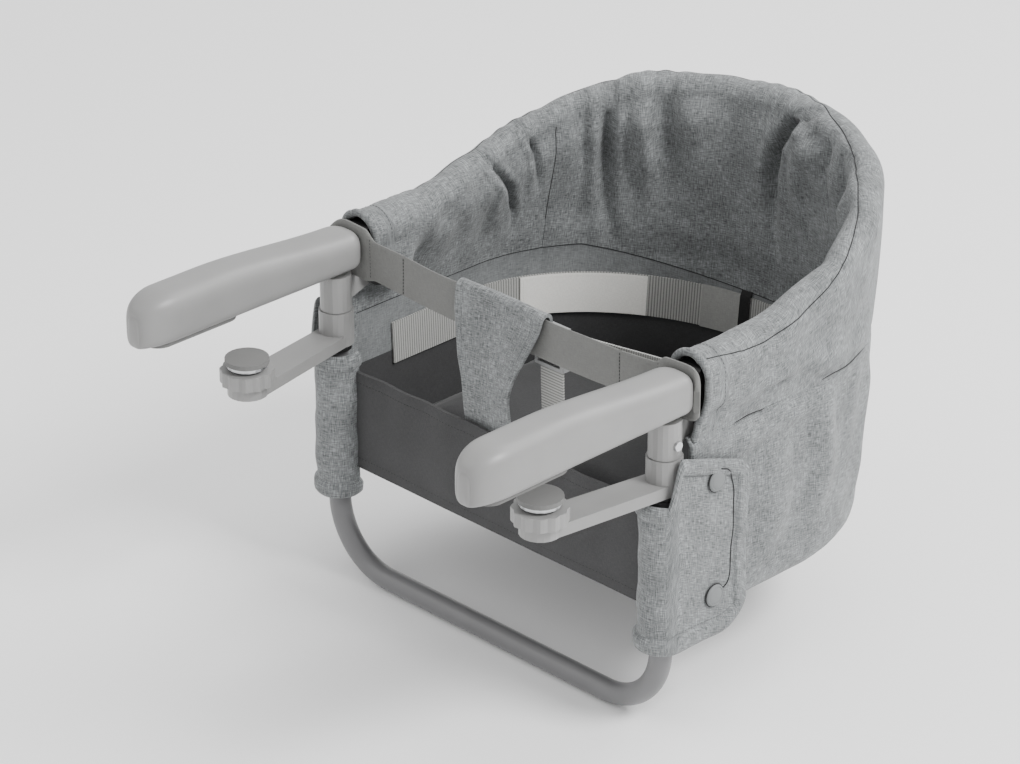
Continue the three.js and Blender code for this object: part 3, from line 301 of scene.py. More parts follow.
def quads(rows, columns, ring=True, start=0, back=False):
    """Faces of a grid of points, row by row. A ring joins its last column to its first."""
    faces = []
    for i in range(rows - 1):
        for j in range(columns if ring else columns - 1):
            a, b = start + i * columns + j, start + i * columns + (j + 1) % columns
            faces.append((a, a + columns, b + columns, b) if back else (a, b, b + columns, a + columns))
    return faces


def lips(rows, columns, ring=True):
    """Faces that join an outer grid and an equal inner one along their first and last rows."""
    count, foot = rows * columns, (rows - 1) * columns
    faces = []
    for a in range(columns if ring else columns - 1):
        b = (a + 1) % columns
        faces.append((a, count + a, count + b, b))
        faces.append((foot + a, foot + b, count + foot + b, count + foot + a))
    return faces


def closed_rings(rows, columns, start=0):
    """Faces of a closed form made of rings of points, one after the other."""
    foot = start + (rows - 1) * columns
    ends = [tuple(reversed(range(start, start + columns))), tuple(range(foot, foot + columns))]
    return quads(rows, columns, start=start) + ends


def cloth(name, grid, thickness, look, ring=False):
    """A closed sheet round a grid of points. Its uv map holds the flat cloth in metres."""
    rows, columns = grid.shape[:2]
    across = np.roll(grid, -1, axis=1) - np.roll(grid, 1, axis=1) if ring else np.gradient(grid, axis=1)
    normal = np.cross(across, np.gradient(grid, axis=0))
    normal /= np.maximum(np.linalg.norm(normal, axis=2, keepdims=True), 1e-9)
    skins = np.concatenate([grid + normal * thickness / 2, grid - normal * thickness / 2])
    count = rows * columns
    faces = quads(rows, columns, ring) + quads(rows, columns, ring, count, True) + lips(rows, columns, ring)
    if not ring:
        for a in range(0, count - columns, columns):
            b, c, d = a + columns, a + columns - 1, a + 2 * columns - 1
            faces += [(a, b, count + b, count + a), (c, count + c, count + d, d)]
    obj = piece(name, skins.reshape(-1, 3), faces, look)
    step_u = np.linalg.norm(np.diff(grid, axis=1, prepend=grid[:, :1]), axis=2)
    step_v = np.linalg.norm(np.diff(grid, axis=0, prepend=grid[:1]), axis=2)
    u = np.cumsum(np.broadcast_to(step_u.mean(axis=0), step_u.shape), axis=1)
    u = u - u[:, columns // 2 : columns // 2 + 1]
    flat = np.stack([u, np.cumsum(step_v, axis=0)], axis=2).reshape(-1, 2)
    lay_flat(obj, np.concatenate([flat, flat]))
    return obj


def lay_flat(obj, flat):
    """Keeps the flat place of each vertex in the uv map that the weaves follow."""
    layer = obj.data.uv_layers.new(name="cloth")
    corners = np.zeros(len(obj.data.loops), dtype=np.int32)
    obj.data.loops.foreach_get("vertex_index", corners)
    layer.data.foreach_set("uv", flat[corners].astype(np.float32).ravel())


def frames_along(points):
    """A line's direction at each of its points, and two more square to it, carried along without twist."""
    points = np.asarray(points, float)
    tangent = np.gradient(points, axis=0)
    tangent /= np.linalg.norm(tangent, axis=1, keepdims=True)
    first = np.cross(tangent[0], (0.31, 0.17, 0.93))
    sides = [first / np.linalg.norm(first)]
    for now in tangent[1:]:
        carried = sides[-1] - now * np.dot(sides[-1], now)
        sides.append(carried / np.linalg.norm(carried))
    sides = np.array(sides)
    return tangent, sides, np.cross(tangent, sides)


def loft(name, rings, look):
    """Joins rings of equally many points, and closes both ends."""
    return piece(name, np.concatenate(rings), closed_rings(len(rings), len(rings[0])), look)


def tube(name, points, radius, look, sides, bore=0.0):
    """A round tube or rod along a line of points, with closed ends."""
    points = np.asarray(points, float)
    _, side, up = frames_along(points)
    angle = np.linspace(0, 2 * np.pi, sides, endpoint=False)
    circle = np.cos(angle)[None, :, None] * side[:, None] + np.sin(angle)[None, :, None] * up[:, None]
    rows = len(points)
    radius = np.broadcast_to(np.asarray(radius, float), (rows,))[:, None, None]
    outside = points[:, None] + circle * radius
    if not bore:
        return loft(name, outside, look)
    skins = np.concatenate([outside, points[:, None] + circle * bore]).reshape(-1, 3)
    faces = quads(rows, sides) + quads(rows, sides, start=rows * sides, back=True) + lips(rows, sides)
    return piece(name, skins, faces, look)


def turned(name, profile, centre, axis, look, sides):
    """A piece turned on a lathe: radius and height along the axis, from one end to the other."""
    axis = np.asarray(axis, float) / np.linalg.norm(axis)
    side = np.cross(axis, (0.0, 0.0, 1.0) if abs(axis[2]) < 0.9 else (1.0, 0.0, 0.0))
    side /= np.linalg.norm(side)
    up = np.cross(axis, side)
    angle = np.linspace(0, 2 * np.pi, sides, endpoint=False)
    circle = np.cos(angle)[:, None] * side + np.sin(angle)[:, None] * up
    return loft(name, [np.asarray(centre) + axis * height + circle * radius for radius, height in profile],
                look)


def lengths_along(points):
    """Length of a line of points from its start to each of them."""
    return np.concatenate([[0], np.cumsum(np.linalg.norm(np.diff(points, axis=0), axis=1))])


def evenly(points, length, places):
    """Points of a line at some places along its length."""
    return np.stack([np.interp(places, length, points[:, k]) for k in range(points.shape[1])], axis=1)


def smooth_route(places, count):
    """Catmull-Rom curve through places, at an even pitch."""
    places = np.asarray(places, float)
    ends = np.concatenate([[2 * places[0] - places[1]], places, [2 * places[-1] - places[-2]]])
    fine = []
    for i in range(1, len(ends) - 2):
        a, b, c, d = ends[i - 1 : i + 3]
        for t in np.linspace(0, 1, 40, endpoint=False):
            fine.append(0.5 * (2 * b + (c - a) * t + (2 * a - 5 * b + 4 * c - d) * t**2
                               + (3 * b - a - 3 * c + d) * t**3))
    fine = np.array(fine + [places[-1]])
    length = lengths_along(fine)
    return evenly(fine, length, np.linspace(0, length[-1], count))


def stitches(name, line, look, pitch=0.0036, length=0.0026, width=0.0007):
    """A row of short raised threads along a line."""
    line = np.asarray(line, float)
    run = lengths_along(line)
    places = evenly(line, run, np.arange(pitch / 2, run[-1], pitch))
    if len(places) < 3:
        raise ValueError("a row of stitches is too short: " + name)
    rings, sides = 5, 6
    angle = np.linspace(0, 2 * np.pi, sides, endpoint=False)
    vertices, faces = [], []
    for place, ahead, side, up in zip(places, *frames_along(places)):
        faces += closed_rings(rings, sides, len(vertices))
        for share in np.linspace(0, 1, rings):
            swell = 0.35 + 0.65 * math.sin(math.pi * share)
            middle = place + ahead * length * (share - 0.5)
            vertices += [middle + width / 2 * swell * (np.cos(a) * side + np.sin(a) * up) for a in angle]
    return piece(name, vertices, faces, look, 80)


def dress(obj, body, slot, *nodes, fold=False):
    """Says what a piece moves with and which solids it stands for; its slot is not used."""
    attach(obj, body)
    if nodes:
        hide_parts(*nodes)
    if fold:
        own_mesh(obj)
    return obj


def sew(name, grid, thickness, look, slot, *nodes, body=ROOT, fold=False):
    """A sheet of cloth with all that dress says of it."""
    return dress(cloth(name, grid, thickness, look), body, slot, *nodes, fold=fold)


def stitch(name, line, look, slot, body=ROOT, fold=False, **threads):
    """A row of stitches with all that dress says of it."""
    dress(stitches(name, line, look, **threads), body, slot, fold=fold)


def seam_and_shade_cord(name, line, radius, slot, body=ROOT, fold=False):
    """A thin dark cord along a seam, also used as painted shade along grooves and round the studs."""
    dress(tube(name, line, radius, "thread", sides=8), body, slot, fold=fold)


# Finishes
def wire(tree, kind, settings=None, **inputs):
    """A shader node with its settings, and its sockets linked or set by name, or by number as in i0."""
    made = tree.nodes.new(kind)
    for name, value in (settings or {}).items():
        setattr(made, name, value)
    for name, value in inputs.items():
        place = int(name[1:]) if name[0] == "i" and name[1:].isdigit() else name.replace("_", " ")
        socket = made.inputs[place]
        if isinstance(value, bpy.types.NodeSocket):
            tree.links.new(value, socket)
        else:
            socket.default_value = value
    return made


def new_finish(name, roughness, **sockets):
    material = bpy.data.materials.new(name)
    material.use_nodes = True
    tree = material.node_tree
    tree.nodes.clear()
    shader = tree.nodes.new("ShaderNodeBsdfPrincipled")
    shader.inputs["Roughness"].default_value = roughness
    for socket, value in sockets.items():
        shader.inputs[socket.replace("_", " ")].default_value = value
    output = tree.nodes.new("ShaderNodeOutputMaterial")
    tree.links.new(shader.outputs["BSDF"], output.inputs["Surface"])
    return material, tree, shader


def ramp(tree, factor, stops):
    made = wire(tree, "ShaderNodeValToRGB", None, Fac=factor)
    made.color_ramp.elements[0].position, made.color_ramp.elements[1].position = 0.0, 1.0
    while len(made.color_ramp.elements) < len(stops):
        made.color_ramp.elements.new(0.5)
    for element, (place, colour) in zip(made.color_ramp.elements, stops):
        element.position = place
        element.color = (*colour, 1.0)
    return made.outputs["Color"]


def shade(colour, factor):
    return tuple(min(1.0, c * factor) for c in colour[:3])


def math_node(tree, operation, a, b=0.0):
    return wire(tree, "ShaderNodeMath", {"operation": operation}, i0=a, i1=b).outputs[0]


def weighed(tree, a, share_a, b, share_b):
    """The sum of two values, each times a number."""
    return math_node(tree, "ADD", math_node(tree, "MULTIPLY", a, share_a),
                     math_node(tree, "MULTIPLY", b, share_b))


def noise(tree, place, scale, detail=2.0, flat=False, **inputs):
    settings = {"noise_dimensions": "2D"} if flat else None
    made = wire(tree, "ShaderNodeTexNoise", settings, Vector=place, Scale=scale, Detail=detail, **inputs)
    return made.outputs["Fac"]


def paint(tree, shader, colours):
    tree.links.new(colours, shader.inputs["Base Color"])


def emboss(tree, shader, height, strength, distance):
    relief = wire(tree, "ShaderNodeBump", None, Strength=strength, Distance=distance, Height=height)
    tree.links.new(relief.outputs["Normal"], shader.inputs["Normal"])


def on_object(tree):
    return wire(tree, "ShaderNodeTexCoord").outputs["Object"]


def flat_cloth(tree, scale):
    """The flat place on a piece of cloth, in metres, stretched by a scale."""
    place = wire(tree, "ShaderNodeUVMap", {"uv_map": "cloth"}).outputs["UV"]
    return wire(tree, "ShaderNodeMapping", None, Vector=place, Scale=scale).outputs["Vector"]


def thread_noise(tree, across, along, vertical):
    """Uneven threads: short across the thread, long along it."""
    scale = (1 / across, 1 / along, 1.0) if vertical else (1 / along, 1 / across, 1.0)
    return noise(tree, flat_cloth(tree, scale), 1.0, flat=True, Roughness=0.6)


def woven(name, colour, dark, light, pitch=0.0008, slub=0.0075, roughness=0.92, bump=0.35):
    """Cloth with uneven crossed threads, seen as fine light and dark dashes."""
    material, tree, shader = new_finish(name, roughness, Sheen_Weight=0.12, Sheen_Roughness=0.5,
                                        Specular_IOR_Level=0.25)
    warp = thread_noise(tree, pitch, slub, True)
    weft = thread_noise(tree, pitch, slub, False)
    crossed = weighed(tree, warp, 0.5, weft, 0.5)
    patches = noise(tree, flat_cloth(tree, (1, 1, 1)), 38.0, flat=True)
    uneven = math_node(tree, "MULTIPLY", math_node(tree, "SUBTRACT", patches, 0.5), 0.16)
    paint(tree, shader, ramp(tree, math_node(tree, "ADD", crossed, uneven), [
        (0.36, shade(colour, dark)), (0.47, shade(colour, 0.93)), (0.54, shade(colour, 1.04)),
        (0.66, shade(colour, light))]))
    fine = noise(tree, flat_cloth(tree, (1 / pitch, 1 / pitch, 1)), 1.0, 1.0, flat=True)
    height = math_node(tree, "ADD", crossed, math_node(tree, "MULTIPLY", fine, 0.5))
    emboss(tree, shader, height, bump, 0.0006)
    return material


def ribbed(name, colour, pitch=0.0026, roughness=0.7, crosswise=True):
    """Webbing with fine ribs across it."""
    material, tree, shader = new_finish(name, roughness, Sheen_Weight=0.08, Specular_IOR_Level=0.3)
    scale = (1 / pitch, 0.0, 0.0) if crosswise else (0.0, 1 / pitch, 0.0)
    wave = wire(tree, "ShaderNodeTexWave",
                {"wave_type": "BANDS", "bands_direction": "X" if crosswise else "Y"},
                Vector=flat_cloth(tree, scale), Scale=math.pi / 10, Distortion=0.0).outputs["Fac"]
    tone = weighed(tree, wave, 0.7, thread_noise(tree, 0.0006, 0.004, not crosswise), 0.3)
    paint(tree, shader, ramp(tree, tone, [
        (0.15, shade(colour, 0.50)), (0.45, shade(colour, 0.95)), (0.85, shade(colour, 1.30))]))
    emboss(tree, shader, tone, 0.6, 0.0005)
    return material


def moulded(name, colour, roughness=0.5, grain=0.08, grain_size=0.0009, **sockets):
    """Moulded plastic or rubber: faint mottling, a fine grain and paler worn edges."""
    material, tree, shader = new_finish(name, roughness, **sockets)
    place = on_object(tree)
    colours = ramp(tree, noise(tree, place, 24.0, 3.0),
                   [(0.3, shade(colour, 0.955)), (0.7, shade(colour, 1.04))])
    edge = wire(tree, "ShaderNodeNewGeometry").outputs["Pointiness"]
    worn = ramp(tree, edge, [(0.5, (0.0, 0.0, 0.0)), (0.62, (0.22, 0.22, 0.22))])
    paint(tree, shader, wire(tree, "ShaderNodeMix", {"data_type": "RGBA"}, i0=worn, i6=colours,
                             i7=(*shade(colour, 1.25), 1.0)).outputs[2])
    smudge = noise(tree, place, 60.0)
    gloss = wire(tree, "ShaderNodeMapRange", None, Value=smudge, i3=roughness * 0.9,
                 i4=min(1.0, roughness * 1.12))
    tree.links.new(gloss.outputs["Result"], shader.inputs["Roughness"])
    emboss(tree, shader, noise(tree, place, 1 / grain_size), grain, 0.0004)
    return material


def metal(name, colour, roughness=0.3, brush=0.25):
    """Bare steel with fine drawn lines."""
    material, tree, shader = new_finish(name, roughness, Metallic=1.0)
    drawn = wire(tree, "ShaderNodeMapping", None, Vector=on_object(tree), Scale=(60.0, 60.0, 1600.0))
    drawn_lines = noise(tree, drawn.outputs["Vector"], 1.0)
    paint(tree, shader, ramp(tree, drawn_lines, [(0.35, shade(colour, 0.85)), (0.65, shade(colour, 1.08))]))
    emboss(tree, shader, drawn_lines, brush, 0.0001)
    return material


def floor_paint(name):
    material, tree, shader = new_finish(name, 0.9)
    paint(tree, shader, ramp(tree, noise(tree, on_object(tree), 1.5),
                             [(0.3, (0.92,) * 3), (0.7, (0.93,) * 3)]))
    return material


FINISHES = {}


def finish(name):
    """The finish of that name, made from the colours of the panel when it is first used."""
    if name not in FINISHES:
        colours = bpy.context.scene.chair_colours
        makers = {
            "floor": lambda: floor_paint("studio_floor"),
            "linen": lambda: woven("heather_linen", colours.linen, 0.46, 1.72),
            # Linen of the strip inside, painted 2% darker as shade, with flatter thread contrast
            "strip": lambda: woven("inner_strip_shaded", shade(colours.linen, 0.98), 0.72, 1.28),
            "lining": lambda: woven("dark_lining", colours.lining, 0.82, 1.2, 0.0005, 0.004, 0.75, 0.15),
            "band": lambda: woven("smooth_band", colours.band, 0.9, 1.1, 0.0005, 0.006, 0.7, 0.12),
            "belt": lambda: woven("belt_sleeve", colours.webbing, 0.9, 1.1, 0.0005, 0.006, 0.75, 0.12),
            "webbing": lambda: ribbed("ribbed_webbing", colours.webbing),
            "webbing_along": lambda: ribbed("strap_webbing", colours.webbing, crosswise=False),
            "keeper": lambda: woven("keeper_webbing", colours.black, 0.8, 1.3, 0.0006, 0.003, 0.7, 0.2),
            "stitch": lambda: woven("linen_thread", shade(colours.linen, 0.72), 0.85, 1.15, 0.0003, 0.001,
                                    0.8, 0.1),
            "patch": lambda: woven("blank_patch", colours.patch, 0.95, 1.05, 0.0004, 0.003, 0.6, 0.08),
            # This dark thread also colours the cords that paint shade on the flaps, the outer seam and round
            # the studs
            "thread": lambda: woven("sewing_thread_and_shade", shade(colours.lining, 0.45), 0.8, 1.2, 0.0003, 0.001,
                                    0.8, 0.1),
            "arm": lambda: moulded("arm_plastic", colours.arm, 0.40, 0.10),
            "grip": lambda: moulded("grip_rubber", colours.grip, 0.85, 0.3, 0.0012),
            "black": lambda: moulded("black_plastic", colours.black, 0.45, 0.15),
            "buckle": lambda: moulded("buckle_plastic", colours.buckle, 0.45, 0.12),
            "stud": lambda: moulded("stud_plastic", shade(colours.linen, 0.95), 0.7, 0.3),
            "board": lambda: moulded("board_plastic", colours.board, 0.7, 0.3, 0.002),
            "tube": lambda: moulded("painted_steel", colours.tube, 0.42, 0.05, 0.0016, Coat_Weight=0.15),
            "steel": lambda: metal("steel", colours.steel),
        }
        FINISHES[name] = makers[name]()
    return FINISHES[name]


def repaint(slot, *names, edge=0.0):
    """Gives solids of the frame a finish, smooth shading and soft edges."""
    for name in names:
        node = NODES[name]
        node.data.materials.clear()
        node.data.materials.append(finish(slot))
        soften(node)
        if edge:
            round_edges(node, edge)


def both(*names):
    """The names of a left and a right piece for each name."""
    return [f"{name}_{side}" for name in names for side in SIDES]


# Seat cloth
TURNS = np.linspace(-1, 1, 521)
HOOD_FRONT = HOUSING_FRONT + 0.0008


def rim_frame(turn):
    """Middle of the hoop tube and the level outward direction, at each turn."""
    x, y = plan(turn, TRACK_HALF, HOOP_DEPTH, HOOD_FRONT)
    return np.stack([x, y, hoop_height(y)], axis=-1), outward(turn)


def wall_point(turn, z, out):
    """A point of the bag's wall at a height, moved outwards by some length."""
    top = hoop_height(plan(turn, BAG_HALF, BAG_DEPTH, BAG_FRONT)[1])
    down = np.clip((top - z) / (top - BAG_FOOT - BAG_ROUND), 0.0, 1.0)
    drop = np.clip((BAG_FOOT + BAG_ROUND - z) / BAG_ROUND, 0.0, 1.0)
    out = out - BAG_ROUND * (1.0 - np.sqrt(1.0 - drop**2))
    half = BAG_HALF - BAG_TAPER * ease(down) + out
    depth = mix(BAG_DEPTH, BAG_LOW_DEPTH, down) + out
    front = mix(BAG_FRONT, BAG_LOW_FRONT, ease(down / 0.25))
    return np.stack(np.broadcast_arrays(*plan(turn, half, depth, front), z), axis=-1)


def puff(turn, angle):
    """How much the rim swells, its soft waves, and the small tucks beside its seam."""
    run = run_along(turn)
    share = np.abs(turn)
    front = ease((share - 0.74) / 0.16)
    over = np.clip(np.sin(angle), 0.0, 1.0)
    beside = hump(angle - seam_angle(turn), 0.55)
    tucks = 0.0006 * np.sin(run * 260.0 + 3.0 * np.sin(run * 47.0)) * beside
    waves = 0.0008 * np.sin(run * 41.0 + 1.3) * over + 0.0007 * np.sin(run * 93.0 + angle * 1.5)
    waves = waves + 0.0010 * hump(run + 0.125, 0.030) - 0.0012 * hump(run + 0.075, 0.022)
    return 0.0032 * front * over + (tucks + waves) * (1.0 - 0.5 * front)


RIM_SEAM_TURNS = [-1.0, -0.8, -0.6, -0.45, -0.3, -0.1, 0.03, 0.085, 0.12, 0.20, 0.30, 0.39, 0.45, 0.52, 0.57,
                  0.68, 0.80, 0.92, 1.0]
RIM_SEAM_DEGREES = [66, 60, 60, 64, 67, 63, 64, 82, 104, 122, 132, 112, 88, 54, 34, 26, 34, 52, 66]


def seam_angle(turn):
    """Where the rim's seam runs round the tube: 90 degrees is the top, 0 the outer side."""
    return np.radians(np.interp(turn, RIM_SEAM_TURNS, RIM_SEAM_DEGREES))


def rim_surface(turn, angle, lift=0.0):
    """A point of the rim's cloth. The folds of the seat's inside run up to its seam."""
    middle, out = rim_frame(turn)
    radius = rim_radius(middle[..., 1]) - 0.0012
    height = middle[..., 2] + radius * np.sin(angle)
    folds = creases(turn, height, INNER_CREASES) * ease((angle - seam_angle(turn)) / 0.7)
    rolled = np.minimum(folds, 0.25 * folds) * (1.0 - ease((np.abs(turn) - 0.8) / 0.1))
    radius = np.maximum(radius + puff(turn, angle) + rolled, RIM_LEAST_RADIUS) + lift
    radius = radius - 0.0010 * hump((angle - seam_angle(turn)) * radius, 0.0022)
    up = np.array([0.0, 0.0, 1.0])
    return middle + out * (radius * np.cos(angle))[..., None] + up * (radius * np.sin(angle))[..., None]


INNER_END_HOOD = math.radians(198)
INNER_END = math.radians(181)


def inner_end(turn):
    """Angle at which the rim's cloth ends inside: it stays short over the black joints."""
    y = rim_frame(turn)[0][..., 1]
    return mix(INNER_END_HOOD, INNER_END, ease((y - 0.094) / 0.012))


def outer_wall(turn, z):
    """The wall's outside: creased and slack, pinched at the outer seam and flat beside the legs."""
    shift = creases(turn, z, OUTER_CREASES) + slack(turn, z)
    pinch = -0.0012 * hump(z - FOLD_PLANE, 0.006)
    fullness = 0.0022 * np.sin(np.pi * np.clip((FOLD_PLANE - z) / 0.15, 0, 1)) - 0.0010
    near_leg = ease((np.abs(turn) - 0.86) / 0.08) * ease((FOLD_PLANE - z) / 0.02)
    deepest = -0.0015 - 0.0060 * ease((z - FOLD_PLANE - 0.004) / 0.030)
    push = np.maximum(mix(shift + fullness, -0.0008, near_leg), deepest)
    return wall_point(turn, z, 0.0015 + push + pinch)


UPPER_HEM = FOLD_PLANE - 0.0030
# Rows of the upper sheet: up the inside, round the rim and down the outside
INNER_ROWS = 63
RIM_ROWS = 34
OUTER_ROWS = 33


def rim_start(turn):
    """Place at which the cloth inside hangs off the rim."""
    return rim_surface(turn, inner_end(turn))


def upper_shell():
    """One sheet: up the seat's inside, over the rim and down to the outer seam."""
    start = rim_start(TURNS)
    over_joint = ease((np.abs(TURNS) - 0.925) / 0.035)
    foot = mix(FOLD_PLANE, start[:, 2] - 0.002, over_joint)
    rows = [inner_wall(TURNS, mix(foot, start[:, 2], share), True)
            for share in np.linspace(0, 1, INNER_ROWS + 1)[:-1]]
    rows += [rim_surface(TURNS, mix(inner_end(TURNS), 0.0, share)) for share in np.linspace(0, 1, RIM_ROWS)]
    top = rim_frame(TURNS)[0][:, 2]
    hem = UPPER_HEM + 0.0012 * np.sin(run_along(TURNS) * 55.0)
    rim_foot = rows[-1]
    for share in np.linspace(0, 1, OUTER_ROWS + 1)[1:]:
        z = mix(top, hem, share)
        straight = rim_foot.copy()
        straight[:, 2] = z
        rows.append(mix(straight, outer_wall(TURNS, z), ease((top - z) / 0.030)[:, None]))
    return np.stack(rows)


FRONT_RISE_END = 0.048
FRONT_FOOT = FLOOR_FOOT - 0.0030


def raised(y, z):
    """Heights below the outer seam, drawn up at the front to the foot of the front panel."""
    near = 1.0 - ease((y - FRONT_RISE_END) / 0.060)
    share = (FRONT_FOOT - FOLD_PLANE) / (BAG_FOOT - FOLD_PLANE)
    return FOLD_PLANE + (z - FOLD_PLANE) * mix(1.0, share, near)


EDGE_WRAP = 9


def turned_edge(edge, side):
    """Points of the wall's front edge, bent round inwards and laid back along the cloth."""
    bend = []
    for k in range(1, EDGE_WRAP + 1):
        turn = math.pi * min(1.0, k / 5)
        back = 0.0028 * max(0, k - 5)
        bend.append(edge + (-side * 0.0017 * (1 - math.cos(turn)), -0.0017 * math.sin(turn) + back, 0.0))
    return bend if side > 0 else bend[::-1]


def lower_wall_outside():
    """The wall below the outer seam, round its foot, with its front edges turned in."""
    rows = []
    straight_foot = BAG_FOOT + BAG_ROUND
    heights = [*np.linspace(FOLD_PLANE, FOLD_PLANE - 0.008, 6),
               *np.linspace(FOLD_PLANE - 0.008, straight_foot, 30)[1:]]
    heights += [straight_foot - BAG_ROUND * math.sin(a) for a in np.linspace(0, math.pi / 2, 12)[1:]]
    for z in heights:
        tuck = -0.0026 * (1.0 - ease((FOLD_PLANE - z) / 0.0055))
        row = outer_wall(TURNS, np.full_like(TURNS, z)) + outward(TURNS) * tuck
        row[:, 2] = raised(row[:, 1], row[:, 2])
        rows.append(np.array([*turned_edge(row[0], -1), *row, *turned_edge(row[-1], 1)]))
    return np.stack(rows)


SEAM_SIDE_LEVEL = -0.0535
SEAM_DIP = 0.027


def lining_height(turn):
    """Height of the seam round the seat's inside, between the linen and the strip behind the belt."""
    return SEAM_SIDE_LEVEL - SEAM_DIP * np.cos(np.pi / 2 * np.minimum(np.abs(turn) / 0.36, 1.0))


# How far the inside lies off the wall's middle
INNER_OUT = -0.0022
# Heights at which the inside has come down to the wall, at the back and near the front
WALL_LEVEL_BACK = -0.052
WALL_LEVEL_FRONT = -0.0225
STUFFING = 0.0045
LEAST_ROOM = 0.0026


def inner_wall(turn, z, upper=False):
    """The wall's inside, from the rim's inner side to the floor. The upper part hangs clear of the joints."""
    out = rim_frame(turn)[1]
    hang = rim_start(turn)
    z_top = hang[..., 2].copy()
    hang[..., 2] = z
    near_front = ease((np.abs(turn) - 0.72) / 0.14)
    z_wall = mix(WALL_LEVEL_BACK, WALL_LEVEL_FRONT, near_front)
    weight = ease((z_top - z) / (z_top - z_wall))[..., None]
    if upper:
        weight = weight * (1.0 - ease((np.abs(turn) - 0.79) / 0.095))[..., None]
    place = mix(hang, wall_point(turn, z, INNER_OUT), weight)
    free = ease((z + 0.066) / 0.034) * (1.0 - near_front * 0.8)
    seams = sum(hump(run_along(turn) - run_along(np.array(t)), 0.0035) for t in (SEAM_TURN, -SEAM_TURN))
    drop = z_top - z
    folds = creases(turn, z, INNER_CREASES) - creases(turn, z_top, INNER_CREASES) * hump(drop, 0.012)
    stuffing = STUFFING * ease(drop / 0.030) * (1.0 - near_front)
    inwards = (folds + stuffing + slack(turn + 0.37, z) * ease(drop / 0.01)) * free
    inwards = inwards - 0.0009 * seams * ease(drop / 0.01)
    room = ((outer_wall(turn, z) - place) * out).sum(axis=-1) - LEAST_ROOM
    return place - out * np.maximum(inwards, -np.maximum(room, 0.0))[..., None]


def inner_sheet(turns, top, foot, steps):
    """Rows of points down the wall's inside, from one height to another."""
    return np.stack([inner_wall(turns, mix(top, foot, share)) for share in np.linspace(0, 1, steps)])


def raise_front(ring):
    """Draws the front of the bag's underside up to the foot of the front panel."""
    height = np.minimum(raised(ring[:, 1], np.full(len(ring), BAG_FOOT)), FRONT_FOOT)
    ring[:, 2] = np.maximum(ring[:, 2], height)
    inside = ease((0.165 - np.abs(ring[:, 0])) / 0.030)
    ring[:, 1] -= 0.0070 * inside * (1.0 - ease((ring[:, 1] - FRONT_RISE_END) / 0.030))
    return ring


def disc(name, outline, middle, rings, look, sag, thickness, shape=lambda ring: ring):
    """A sheet that fills an outline, sagging towards its middle."""
    outline = np.asarray(outline, float)
    rows = []
    for share in np.linspace(1.0, 0.02, rings):
        ring = middle + (outline - middle) * share
        ring[:, 2] = mix(outline[:, 2], middle[2], ease((1 - share) / 0.5)) - sag * (1 - share**2)
        rows.append(shape(ring))
    obj = cloth(name, np.stack(rows), thickness, look, ring=True)
    obj.data.uv_layers.remove(obj.data.uv_layers["cloth"])
    lay_flat(obj, points_of(obj)[:, :2])
    return obj


# Sizes and colours that a user may change
COLOUR = {"subtype": "COLOR", "min": 0.0, "max": 1.0}


class ChairColours(bpy.types.PropertyGroup):
    """Colours of the chair's finishes."""

    arm: FloatVectorProperty(name="Arms", description="Plastic of the two arms",
                             default=(0.228, 0.227, 0.224), **COLOUR)
    grip: FloatVectorProperty(name="Grip pads", description="Rubber under the arms and on the clamps",
                              default=(0.14, 0.14, 0.137), **COLOUR)
    tube: FloatVectorProperty(name="Tubes", description="Paint of the steel tubes",
                              default=(0.138, 0.138, 0.141), **COLOUR)
    black: FloatVectorProperty(name="Joints", description="Black plastic of the joints",
                               default=(0.012, 0.012, 0.012), **COLOUR)
    steel: FloatVectorProperty(name="Steel", description="Pins, screws and springs",
                               default=(0.56, 0.57, 0.58), **COLOUR)
    linen: FloatVectorProperty(name="Linen", description="Heather cloth of the seat",
                               default=(0.172, 0.180, 0.182), **COLOUR)
    lining: FloatVectorProperty(name="Lining", description="Dark cloth of the seat's inside and front",
                                default=(0.042, 0.042, 0.043), **COLOUR)
    band: FloatVectorProperty(name="Front band", description="Smooth band between the arms",
                              default=(0.145, 0.146, 0.140), **COLOUR)
    webbing: FloatVectorProperty(name="Webbing", description="Ribbed belts",
                                 default=(0.320, 0.320, 0.308), **COLOUR)
    patch: FloatVectorProperty(name="Patch", description="Blank patch on the waist belt",
                               default=(0.80, 0.79, 0.75), **COLOUR)
    buckle: FloatVectorProperty(name="Buckle", description="Plastic of the buckle",
                                default=(0.24, 0.243, 0.243), **COLOUR)
    board: FloatVectorProperty(name="Seat board", description="Board under the seat pad",
                               default=(0.024, 0.024, 0.026), **COLOUR)


class ChairCloth(bpy.types.PropertyGroup):
    """Thicknesses and edges of the chair's cloth and plastic."""

    shell: FloatProperty(name="Linen", description="Thickness of the seat's linen", unit="LENGTH",
                         default=0.0020, min=0.0005, max=0.004)
    inside: FloatProperty(name="Inside", description="Thickness of the cloth inside the seat", unit="LENGTH",
                          default=0.0014, min=0.0005, max=0.004)
    webbing: FloatProperty(name="Webbing", description="Thickness of the belts", unit="LENGTH",
                           default=0.0018, min=0.0008, max=0.003)
    # The seam cord's thickness also sets the dark cords that paint the shade of the outer seam's fold and the
    # flaps' hem grooves
    seam: FloatProperty(name="Seam cord", description="Thickness of the thin dark seam lines", unit="LENGTH",
                        default=0.0011, min=0.0005, max=0.003)
    swell: FloatProperty(name="Pad swell", description="How far the seat pad may swell", unit="LENGTH",
                         default=0.0080, min=0.0, max=0.02)
    plastic_edge: FloatProperty(name="Plastic edges", description="Rounding of moulded edges", unit="LENGTH",
                                default=0.0008, min=0.0, max=0.003)


